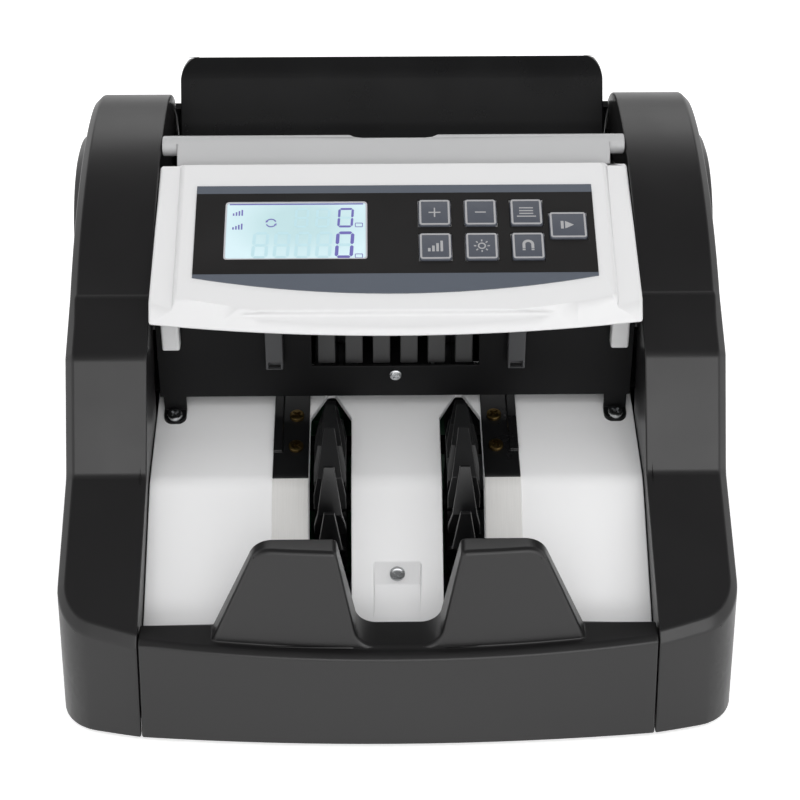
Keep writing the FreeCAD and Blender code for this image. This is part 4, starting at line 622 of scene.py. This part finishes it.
class CounterStage(bpy.types.PropertyGroup):
    """Studio floor, lights and camera."""
    floor: colour_value("Floor", "Colour of the floor", (0.90, 0.90, 0.90))
    floor_glow: share_value("Floor glow", "White added to the floor as it is seen", 0.62)
    floor_mirrored: share_value("Mirrored glow", "Share of that white in reflections", 0.65)
    floor_size: length_value("Floor size", "Side of the floor", 8.0)
    lens: number_value("Lens", "Focal length of the camera", 90.0, subtype="DISTANCE_CAMERA")
    camera_place: bpy.props.FloatVectorProperty(name="Camera", description="Place of the camera",
                                                default=(-0.008, -0.687, 0.5277),
                                                subtype="XYZ", unit="LENGTH")
    camera_tilt: angle_value("Tilt", "Camera angle up from straight down", math.radians(57.0))
    camera_turn: angle_value("Turn", "Camera angle about the upright", math.radians(-0.72))
    camera_shift: number_value("Shift", "Sideways shift of the frame", 0.0044)
    room: number_value("Room light", "Light from all round", 0.34, min=0.0, max=5.0)
    ceiling: share_value("Ceiling", "Brightness overhead, as a share of the walls", 0.10)
    key_light: power_value("Key light", "Power of the lamp above the user", 3.0)
    fill_light: power_value("Fill light", "Power of the lamp behind the user", 7.5)
    side_light: power_value("Side light", "Power of each side lamp", 3.0)
    back_light: power_value("Back light", "Power of the lamp behind", 5.0)
    front_light: power_value("Front light", "Power of the low lamp in front", 7.0)


class CounterLook(bpy.types.PropertyGroup):
    """All settings of the counting machine."""
    covers: bpy.props.PointerProperty(type=CounterCovers, name="Covers", description="Covers and mouldings")
    panel: bpy.props.PointerProperty(type=CounterPanel, name="Panel", description="Control panel")
    stage: bpy.props.PointerProperty(type=CounterStage, name="Stage", description="Studio")


# Covers

class COUNTER_OT_covers(bpy.types.Operator):
    """Side covers and front cover with rounded edges, and the rear cover in the same finish"""
    bl_idname = "counter.covers"
    bl_label = "Covers"

    def execute(self, context):
        edge = context.scene.counter_look.covers.edge
        for node in ("left_side_cover", "right_side_cover", "front_cover"):
            soften(node, "charcoal_plastic", edge, steps=3, angle=20)
        paint("rear_cover", "charcoal_plastic")
        return {"FINISHED"}


# Control panel, keys and display

class COUNTER_OT_panel(bpy.types.Operator):
    """White panel housing and its printed sheet"""
    bl_idname = "counter.panel"
    bl_label = "Control panel"

    def execute(self, context):
        edge = context.scene.counter_look.covers.fine_edge
        soften("control_panel", "white_plastic", edge * 2, steps=4, angle=50)
        paint("keypad_overlay", "printed_sheet")
        paint("control_board", "board_green")
        return {"FINISHED"}


def stroke_bar(x, y, length, width, angle=0.0):
    """Outline of a straight stroke about its middle."""
    turn = complex(math.cos(angle), math.sin(angle)) / 2
    corners = [complex(a * length, b * width) * turn for a, b in ((-1, -1), (1, -1), (1, 1), (-1, 1))]
    return [(c.real + x, c.imag + y) for c in corners]


def stroke_arc(x, y, radius, width, start, end, steps=14):
    """Outline of a round stroke between two angles."""
    angles = [start + (end - start) * i / steps for i in range(steps + 1)]

    def arc(reach):
        return [(x + reach * math.cos(angle), y + reach * math.sin(angle)) for angle in angles]

    return arc(radius + width / 2) + arc(radius - width / 2)[::-1]


def stroke_ring(x, y, radius, width):
    """Outlines of the two halves of a ring."""
    return [stroke_arc(x, y, radius, width, start, start + math.pi) for start in (0.0, math.pi)]


def plus_mark(x, y, width):
    half = 2.3 * MM
    side = half - width / 2
    rise = (half + width / 2) / 2
    return [stroke_bar(x, y, 2 * half, width), stroke_bar(x, y + rise, width, side),
            stroke_bar(x, y - rise, width, side)]


def minus_mark(x, y, width):
    return [stroke_bar(x, y, 4.2 * MM, width)]


def stack_mark(x, y, width):
    """Three notes seen edge on, above a tray."""
    rows = [stroke_bar(x, y + step * MM, 5.4 * MM, width) for step in (2.0, 0.6, -0.8)]
    return rows + [stroke_bar(x, y - 2.2 * MM, 7.4 * MM, width)]


def total_mark(x, y, width):
    """Four bars that climb to the right."""
    steps = ((-2.4, 1.6), (-0.8, 2.8), (0.8, 4.0), (2.4, 5.2))
    foot = y - 2.6 * MM
    return [stroke_bar(x + across * MM, foot + tall / 2 * MM, 1.0 * MM, tall * MM) for across, tall in steps]


def lamp_mark(x, y, width):
    """Ring with eight short rays."""
    marks = stroke_ring(x, y, 1.3 * MM, width)
    reach = 2.6 * MM
    for i in range(8):
        angle = math.pi / 4 * i
        spot = (x + reach * math.cos(angle), y + reach * math.sin(angle))
        marks.append(stroke_bar(*spot, 0.9 * MM, width, angle))
    return marks


def magnet_mark(x, y, width):
    """Horseshoe with two cross lines at its ends."""
    bow = 1.7 * MM
    thick = 2 * width
    marks = [stroke_arc(x, y + 0.6 * MM, bow, thick, 0.0, math.pi)]
    for side in (-bow, bow):
        marks.append(stroke_bar(x + side, y - 0.35 * MM, thick, 1.9 * MM))
        marks.append(stroke_bar(x + side, y - 1.95 * MM, thick, 0.7 * MM))
    return marks


def start_mark(x, y, width):
    """Arrow head with a bar behind it."""
    head = [(x - 1.2 * MM, y - 1.9 * MM), (x + 2.2 * MM, y), (x - 1.2 * MM, y + 1.9 * MM)]
    return [head, stroke_bar(x - 2.3 * MM, y, 2 * width, 3.8 * MM)]


KEY_MARKS = {
    "key_plus": plus_mark, "key_minus": minus_mark, "key_batch": stack_mark, "key_add": total_mark,
    "key_uv": lamp_mark, "key_mg": magnet_mark, "key_start": start_mark,
}


def build_key(node, mark, look):
    """Soft key with a printed frame and a mark."""
    low, high = slope_box(node)
    centre = (low + high) / 2
    top = high[2]
    printed = top + look.print_height
    crown = 0.35 * MM
    turn = crown * 0.3

    def ring(inset):
        return rounded_rectangle(low, high, look.key_corner, inset)

    cap = stacked(node + "_cap", [(ring(0), low[2]), (ring(0), top - crown), (ring(turn), top - turn),
                                  (ring(crown), top)])
    smooth(cap, angle=50)
    piece = add_piece(cap, "key_rubber", node, SLOPE)
    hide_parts(node)
    line = flat_ring(node + "_frame", ring(crown), ring(crown + look.frame_line), top, printed)
    add_piece(line, "key_print", node, SLOPE)
    marks = flat_marks(node + "_mark", mark(centre[0], centre[1], look.stroke), top, printed)
    add_piece(marks, "key_print", node, SLOPE)


class COUNTER_OT_keys(bpy.types.Operator):
    """Seven keys, each with a printed frame and a plain mark"""
    bl_idname = "counter.keys"
    bl_label = "Keys"

    def execute(self, context):
        for node, mark in KEY_MARKS.items():
            build_key(node, mark, context.scene.counter_look.panel)
        return {"FINISHED"}


def segment_outlines(cell, lit, thick):
    """Leaning seven-part digit that fills a cell (left, bottom, right, top)."""
    left, bottom, right, top = cell
    half = thick / 2
    middle = (bottom + top) / 2
    gap = thick * 0.14

    def lie(x0, x1, y):
        return [(x0 + gap, y), (x0 + gap + half, y - half), (x1 - gap - half, y - half), (x1 - gap, y),
                (x1 - gap - half, y + half), (x0 + gap + half, y + half)]

    def stand(x, y0, y1):
        return [(b, a) for a, b in lie(y0, y1, x)]

    x0 = left + half
    x1 = right - half
    y0 = bottom + half
    y1 = top - half
    shapes = {"a": lie(x0, x1, y1), "b": stand(x1, middle, y1), "c": stand(x1, y0, middle),
              "d": lie(x0, x1, y0), "e": stand(x0, y0, middle), "f": stand(x0, middle, y1),
              "g": lie(x0, x1, middle)}
    return [[(x + DIGIT_LEAN * (y - bottom), y) for x, y in shapes[part]] for part in lit]


class COUNTER_OT_display(bpy.types.Operator):
    """Display glass, its rim and its digits"""
    bl_idname = "counter.display"
    bl_label = "Display"

    def execute(self, context):
        thickness = context.scene.counter_look.panel.print_height
        node = "display_module"
        paint(node, "display_module")
        low, high = slope_box(node)
        size = high - low
        base = high[2]
        face = base + 0.12 * MM
        rim = 0.7 * MM
        rim_top = face + 0.2 * MM
        play = 0.05 * MM
        corner = 1.6 * MM

        def ring(inset):
            return rounded_rectangle(low, high, corner, inset)

        def cell(shares):
            left, top, right, bottom = shares
            return (low[0] + left * size[0], high[1] - bottom * size[1],
                    low[0] + right * size[0], high[1] - top * size[1])

        glass = stacked("display_glass", [(ring(rim * 0.6), base), (ring(rim * 0.6), face)])
        add_piece(glass, "display_ground", node, SLOPE)
        bezel = flat_ring("display_rim", ring(play), ring(rim), base, rim_top)
        add_piece(bezel, "display_bezel", node, SLOPE)
        left, bottom, right, top = cell(TOP_LINE)
        shapes = [[(left, bottom), (right, bottom), (right, top), (left, top)]]
        ghosts = []
        for blanks, zero, faint, bold in ((SMALL_GHOSTS, SMALL_ZERO, 1.0 * MM, 0.95 * MM),
                                          (LARGE_GHOSTS, LARGE_ZERO, 1.3 * MM, 1.35 * MM)):
            for shares in blanks:
                ghosts += segment_outlines(cell(shares), SEVEN, faint)
            ghosts += segment_outlines(cell(zero), "g", faint)
            shapes += segment_outlines(cell(zero), ZERO, bold)
        unlit = flat_marks("display_ghosts", ghosts, face, face + thickness / 2)
        add_piece(unlit, "display_unlit", node, SLOPE)
        lit = flat_marks("display_digits", shapes + self.plain_marks(cell), face, face + thickness)
        add_piece(lit, "display_lit", node, SLOPE)
        return {"FINISHED"}

    def plain_marks(self, cell):
        """Small signs without words: two signals, a ring of arrows and two note shapes."""
        marks = []
        stroke = 0.5 * MM
        for shares in SIGNALS:
            left, bottom, right, top = cell(shares)
            for i in range(4):
                x = left + (right - left) * (i + 0.5) / 4
                tall = (top - bottom) * (0.4 + 0.2 * i)
                marks.append(stroke_bar(x, bottom + tall / 2, 0.6 * MM, tall))
        left, bottom, right, top = cell(ARROW_RING)
        middle = complex(left + right, bottom + top) / 2
        radius = (top - bottom) / 2
        sweep = math.pi - 0.9
        for start in (0.35, math.pi + 0.35):
            end = start + sweep
            marks.append(stroke_arc(middle.real, middle.imag, radius, stroke, start, end))
            side = complex(math.cos(end), math.sin(end))
            base = middle + radius * side
            head = [base + side * step * MM for step in (0.55, 1j, -0.55)]
            marks.append([(h.real, h.imag) for h in head])
        for shares in NOTES:
            left, bottom, right, top = cell(shares)
            line = 0.3 * MM
            marks += [stroke_bar((left + right) / 2, y, right - left, line) for y in (bottom, top)]
            marks += [stroke_bar(x, (bottom + top) / 2, line, top - bottom - line) for x in (left, right)]
        return marks


# Hopper and stacker bay

class COUNTER_OT_hopper(bpy.types.Operator):
    """Hopper plate and note guide bar"""
    bl_idname = "counter.hopper"
    bl_label = "Hopper"

    def execute(self, context):
        edge = context.scene.counter_look.covers.fine_edge
        soften("hopper_plate", "black_plastic", edge * 0.7, steps=3)
        soften("note_guide_bar", "silver_plastic", edge * 1.2, steps=3)
        return {"FINISHED"}


class COUNTER_OT_bay(bpy.types.Operator):
    """Stacker plate, strips, wear plates, throat plate, comb and posts"""
    bl_idname = "counter.bay"
    bl_label = "Stacker bay"

    def execute(self, context):
        edge = context.scene.counter_look.covers.fine_edge
        # The stacker plate's white is painted brighter, as painted light falling into the bay
        soften("stacker_plate", "bay_plastic", edge)
        soften("slot_strips", "black_plastic", edge)
        # The wear plates' pale colour is a painted reflection
        soften("wear_plates", "wear_steel", edge * 0.4)
        self.round_tabs(soften("throat_plate", "black_steel", edge * 0.8))
        self.open_feet(soften("sensor_posts", "post_plastic", edge))
        soften("lower_guide", "black_steel", edge * 0.6)
        self.pale_ribs(soften("guide_comb", "black_plastic", edge))
        return {"FINISHED"}

    def round_tabs(self, plate):
        """Rounds off the front corners of the throat plate's screwed tabs."""
        node = "throat_plate"
        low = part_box(node)[0]
        radius = 4.0 * MM
        slack = 1.0 * MM
        depth = 6.0 * MM
        steps = 8
        ends = [v.co.x for v in frame["nodes"][node].data.vertices if v.co.y < low.y + slack / 2]
        for side in (-1, 1):
            tab = [x for x in ends if x * side > 0]
            for edge, inward in ((min(tab), 1), (max(tab), -1)):
                middle = edge + inward * radius
                outside = edge - inward * slack
                outline = [(outside, low.y - slack), (middle, low.y - slack)]
                for i in range(steps + 1):
                    angle = math.pi / 2 * i / steps
                    outline.append((middle - inward * radius * math.sin(angle),
                                    low.y + radius - radius * math.cos(angle)))
                outline.append((outside, low.y + radius))
                carve(plate, flat_marks("corner", [outline], low.z - slack, low.z + depth))
        shade(plate)

    def open_feet(self, posts):
        """Cuts the sensor's window into the front of each post, above its foot."""
        side = 0.9 * MM
        sill = 0.6 * MM
        lintel = 3.6 * MM
        for group in islands("sensor_posts"):
            low, high = box_of(group)
            left = low.x + side
            right = high.x - side
            front = low.y - side
            back = low.y + 3 * side
            outline = [(left, front), (right, front), (right, back), (left, back)]
            carve(posts, flat_marks("window", [outline], low.z + sill, low.z + lintel))
        shade(posts)

    def pale_ribs(self, comb):
        """Gives the ribs in the window of the throat plate a paler plastic than their bar."""
        comb.data.materials.append(finish("rib_plastic"))
        low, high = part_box("guide_comb")
        bar_foot = low.z + 0.68 * (high.z - low.z)
        window = 33.5 * MM
        for face in comb.data.polygons:
            if abs(face.center.x) < window and face.center.z < bar_foot:
                face.material_index = 1


class COUNTER_OT_wheels(bpy.types.Operator):
    """Finned stacker wheels and their shaft"""
    bl_idname = "counter.wheels"
    bl_label = "Stacker wheels"

    def execute(self, context):
        soften("stacker_wheels", "wheel_plastic", context.scene.counter_look.covers.fine_edge * 0.6)
        paint("stacker_shaft", "black_steel")
        return {"FINISHED"}


# Screws

def broad_side(node, group, outward):
    """Normal of the largest flat side that a solid of a node turns outward."""
    low, high = box_of(group)
    areas = {}
    for face in frame["nodes"][node].data.polygons:
        if face.normal.dot(outward) > 0 and all(low[k] <= face.center[k] <= high[k] for k in range(3)):
            way = tuple(round(n, 2) for n in face.normal)
            areas[way] = areas.get(way, 0.0) + face.area
    return Vector(max(areas, key=areas.get)).normalized()


def screw_head(name, node, group, outward, finish_name):
    """Domed head with a cross recess in the place of one plain screw."""
    axis = broad_side(node, group, outward)
    middle = sum(group, Vector()) / len(group)
    heights = [axis.dot(g - middle) for g in group]
    tall = max(heights) - min(heights)
    seat = middle + axis * min(heights)
    arms = [g - seat for g in group]
    radius = 0.97 * max((arm - axis * axis.dot(arm)).length for arm in arms)
    rim = 0.78 * tall
    crown = 0.98 * tall
    steps = 6
    dome = [(0.0, 0.0), (0.0, radius)]
    for i in range(steps + 1):
        angle = math.pi / 2 * i / steps
        dome.append((rim + (crown - rim) * math.sin(angle), radius * (0.5 + 0.5 * math.cos(angle))))
    dome.append((crown, 0.0))
    piece = add_piece(turned(name, dome, seat, axis, steps=40, weld=True), finish_name, node)
    cut_cross(piece, seat + axis * tall, axis, radius, tall / 2)
    smooth(piece.data, angle=40)
    return piece


def cut_cross(piece, top, axis, radius, depth):
    """Sinks a cross recess into the top of a screw head."""
    arm = radius * 0.62
    width = radius * 0.17
    side = axis.orthogonal().normalized()
    place = Matrix((side, axis.cross(side), axis)).transposed().to_4x4()
    place.translation = top
    outline = [(arm, width), (width, width), (width, arm), (-width, arm), (-width, width), (-arm, width),
               (-arm, -width), (-width, -width), (-width, -arm), (width, -arm), (width, -width),
               (arm, -width)]
    carve(piece, flat_marks("recess", [outline], -depth, depth), place)


class COUNTER_OT_screws(bpy.types.Operator):
    """Cross-head screws of the strips, plates and rear cover"""
    bl_idname = "counter.screws"
    bl_label = "Screws"

    def execute(self, context):
        toward_user = Vector((0, -1, 1))
        groups = (("strip_screws", "brass", toward_user), ("plate_screws", "plain_steel", toward_user),
                  ("cover_screws", "plain_steel", Vector((0, 1, 0))))
        for node, metal, outward in groups:
            for i, group in enumerate(islands(node)):
                head = screw_head(f"{node}_{i + 1}", node, group, outward, metal)
                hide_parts(node)
        return {"FINISHED"}


# Inner works

def flipped(rows):
    """Right half of a round piece's side view, from its left half."""
    return [(-across, reach) for across, reach in reversed(rows)]


def tyre_profile(width, radius, bore, grooves):
    """Side view of a tyre with round shoulders and fine grooves."""
    half = width / 2
    shoulder = 0.8 * MM
    turn = 0.3 * shoulder
    cut = 0.5 * MM
    floor = 0.3 * cut
    left = [(-half, bore), (-half, radius - shoulder), (-half + turn, radius - turn),
            (-half + shoulder, radius)]
    pitch = (width - 2 * shoulder) / (grooves + 1)
    tread = []
    for i in range(grooves):
        at = -half + shoulder + pitch * (i + 1)
        tread += [(at - cut, radius), (at - floor, radius - cut),
                  (at + floor, radius - cut), (at + cut, radius)]
    return left + tread + flipped(left)


def flange_profile(width, radius, bore):
    """Side view of a belt pulley with low flanges beside its belt."""
    half = width / 2
    rim = width * 0.14
    edge = 0.2 * MM
    slope = 0.3 * MM
    sunk = radius - 0.5 * MM
    left = [(-half, bore), (-half, radius - edge), (-half + edge, radius), (-half + rim, radius),
            (-half + rim + slope, sunk)]
    return left + flipped(left)


def turned_group(node, finish_name, profile_of):
    """Replaces each round solid of a node by a turned piece of the same size."""
    for i, group in enumerate(islands(node)):
        low, high = box_of(group)
        centre = (low + high) / 2
        reach = [math.hypot(g.y - centre.y, g.z - centre.z) for g in group]
        mesh = turned(f"{node}_{i + 1}", profile_of(high.x - low.x, max(reach), min(reach)), centre)
        smooth(mesh, angle=32)
        piece = add_piece(mesh, finish_name, node)
        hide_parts(node)


class COUNTER_OT_rollers(bpy.types.Operator):
    """Grooved tyres, pulleys and shafts of the note path"""
    bl_idname = "counter.rollers"
    bl_label = "Rollers and pulleys"

    def execute(self, context):
        tyres = (("drive_rollers", 4), ("feed_rollers", 7), ("kick_rollers", 5), ("pinch_rollers", 2))
        for node, grooves in tyres:
            turned_group(node, "roller_rubber", lambda w, r, b, n=grooves: tyre_profile(w, r, b, n))
        for node in ("drive_pulleys", "feed_pulleys", "stacker_pulley"):
            turned_group(node, "white_plastic", flange_profile)
        for node in ("drive_shaft", "feed_shaft", "kick_shaft", "pinch_axle", "motor_pulley"):
            paint(node, "plain_steel")
        paint("tie_rods", "black_steel")
        paint("drive_belts", "rubber")
        paint("shaft_bushes", "brass")
        return {"FINISHED"}


class COUNTER_OT_works(bpy.types.Operator):
    """Frame, base, motor, boards, stripper and feet"""
    bl_idname = "counter.works"
    bl_label = "Inner works"

    def execute(self, context):
        edge = context.scene.counter_look.covers.fine_edge
        for node in ("left_frame_plate", "right_frame_plate", "base_plate"):
            soften(node, "grey_paint", edge * 0.8)
        soften("stripper_bridge", "aluminium", edge)
        soften("stripper_block", "black_plastic", edge)
        soften("gap_knob", "black_plastic", edge * 0.8)
        soften("main_motor", "grey_paint", edge * 2)
        soften("main_board", "board_green", edge * 0.4)
        soften("rubber_feet", "rubber", edge * 1.6, steps=3)
        return {"FINISHED"}


class COUNTER_OT_rear(bpy.types.Operator):
    """Power inlet, switch housing and rocker"""
    bl_idname = "counter.rear_fittings"
    bl_label = "Rear fittings"

    def execute(self, context):
        edge = context.scene.counter_look.covers.fine_edge
        soften("power_inlet", "black_plastic", edge * 0.7)
        soften("switch_housing", "black_plastic", edge * 0.5)
        soften("power_rocker", "black_plastic", edge * 0.7)
        self.rocker_marks()
        return {"FINISHED"}

    def rocker_marks(self):
        """A ring and a stroke on the rocker's two halves."""
        node = "power_rocker"
        low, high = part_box(node)
        middle = (low + high) / 2
        place = Matrix(((-1, 0, 0), (0, 0, 1), (0, 1, 0))).to_4x4()
        place.translation = (middle.x, high.y, middle.z)
        reach = (high.z - low.z) * 0.27
        line = 0.5 * MM
        root = -3.2 * MM
        crest = -0.9 * MM
        shapes = stroke_ring(0.0, reach, 1.4 * MM, line) + [stroke_bar(0.0, -reach, line, 2.8 * MM)]
        marks = flat_marks("rocker_marks", shapes, root, crest)
        add_piece(marks, "key_print", node, place)


# Stage

def soft_box(name, place, size, power, mirrored=True):
    """Area lamp that looks at the machine; one that isn't mirrored lights it but leaves no reflection."""
    lamp = bpy.data.lights.new(name, "AREA")
    lamp.shape = "RECTANGLE"
    lamp.size = size[0]
    lamp.size_y = size[1]
    lamp.energy = power
    holder = linked(name, lamp)
    holder.location = place
    holder.rotation_euler = (LIGHT_AIM - Vector(place)).to_track_quat("-Z", "Y").to_euler()
    holder.visible_glossy = mirrored


class COUNTER_OT_stage(bpy.types.Operator):
    """White floor, soft lights and the camera"""
    bl_idname = "counter.stage"
    bl_label = "Stage"

    def execute(self, context):
        look = context.scene.counter_look.stage
        context.scene.view_settings.view_transform = "Standard"
        self.lay_floor(look)
        self.light_room(context, look)
        soft_box("back_light", (0.0, 1.2, 1.2), (1.6, 0.6), look.back_light)
        soft_box("front_light", (0.35, -1.6, 0.35), (1.8, 0.6), look.front_light)
        soft_box("key_light", (0.0, -0.70, 1.42), (1.8, 0.5), look.key_light, mirrored=False)
        soft_box("fill_light", (0.0, -1.15, 1.2), (1.4, 1.0), look.fill_light, mirrored=False)
        for name, across in (("left_light", -1.0), ("right_light", 1.0)):
            soft_box(name, (across, -0.2, 1.0), (0.9, 1.4), look.side_light, mirrored=False)
        self.place_camera(context, look)
        return {"FINISHED"}

    def place_camera(self, context, look):
        camera = bpy.data.cameras.new("camera")
        camera.lens = look.lens
        camera.shift_x = look.camera_shift
        holder = linked("camera", camera)
        holder.location = look.camera_place
        holder.rotation_euler = (look.camera_tilt, 0.0, look.camera_turn)
        context.scene.camera = holder

    def lay_floor(self, look):
        """Floor that glows white to the camera, and less so in reflections."""
        half = look.floor_size / 2
        corners = [(-half, -half, 0), (half, -half, 0), (half, half, 0), (-half, half, 0)]
        mesh = mesh_from("floor", corners, [(0, 1, 2, 3)])
        floor = linked("floor", mesh)
        material = bpy.data.materials.new("studio_floor")
        material.use_nodes = True
        tree = material.node_tree
        path = put(tree, "ShaderNodeLightPath").outputs
        mirrored = maths(tree, "MULTIPLY", path["Is Glossy Ray"], look.floor_mirrored)
        seen = maths(tree, "MAXIMUM", path["Is Camera Ray"], mirrored)
        feed(tree, tree.nodes["Principled BSDF"], {
            "Base Color": rgba(look.floor), "Roughness": 0.8, "Emission Color": WHITE,
            "Emission Strength": maths(tree, "MULTIPLY", seen, look.floor_glow)})
        mesh.materials.append(material)

    def light_room(self, context, look):
        """Even soft light; the camera and reflections see white walls under a dim ceiling."""
        world = bpy.data.worlds.new("room")
        context.scene.world = world
        world.use_nodes = True
        tree = world.node_tree
        path = put(tree, "ShaderNodeLightPath").outputs
        mirrored = maths(tree, "MAXIMUM", path["Is Glossy Ray"], path["Is Transmission Ray"])
        seen = maths(tree, "MAXIMUM", path["Is Camera Ray"], mirrored)
        height = part_z(tree, coordinates(tree, "Generated"))
        wall_top = 0.15
        overhead = 0.75
        walls = rescaled(tree, height, wall_top, overhead, 1.0, look.ceiling, interpolation_type="SMOOTHSTEP")
        strength = rescaled(tree, seen, 0.0, 1.0, look.room, walls)
        feed(tree, tree.nodes["Background"], {"Color": WHITE, "Strength": strength})


# Panel in the sidebar

STEPS = (COUNTER_OT_covers, COUNTER_OT_panel, COUNTER_OT_keys, COUNTER_OT_display, COUNTER_OT_hopper,
         COUNTER_OT_bay, COUNTER_OT_wheels, COUNTER_OT_screws, COUNTER_OT_rollers, COUNTER_OT_works,
         COUNTER_OT_rear, COUNTER_OT_stage)


class COUNTER_PT_panel(bpy.types.Panel):
    """Lists the steps of the counting machine"""
    bl_idname = "COUNTER_PT_panel"
    bl_label = "Banknote counter"
    bl_space_type = "VIEW_3D"
    bl_region_type = "UI"
    bl_category = "Counter"

    def draw(self, context):
        for step in STEPS:
            self.layout.operator(step.bl_idname)
        for group in ("covers", "panel", "stage"):
            box = self.layout.box()
            settings = getattr(context.scene.counter_look, group)
            for key in settings.__annotations__:
                box.prop(settings, key)


CLASSES = (CounterCovers, CounterPanel, CounterStage, CounterLook) + STEPS + (COUNTER_PT_panel,)


def register():
    for cls in CLASSES:
        bpy.utils.register_class(cls)
    bpy.types.Scene.counter_look = bpy.props.PointerProperty(type=CounterLook, name="Counter",
                                                             description="Settings of the counting machine")


def unregister():
    del bpy.types.Scene.counter_look
    for cls in reversed(CLASSES):
        bpy.utils.unregister_class(cls)


def main():
    register()
    bpy.ops.counter.covers()
    bpy.ops.counter.panel()
    bpy.ops.counter.keys()
    bpy.ops.counter.display()
    bpy.ops.counter.hopper()
    bpy.ops.counter.bay()
    bpy.ops.counter.wheels()
    bpy.ops.counter.screws()
    bpy.ops.counter.rollers()
    bpy.ops.counter.works()
    bpy.ops.counter.rear_fittings()
    bpy.ops.counter.stage()


if __name__ == "__main__":
    main()
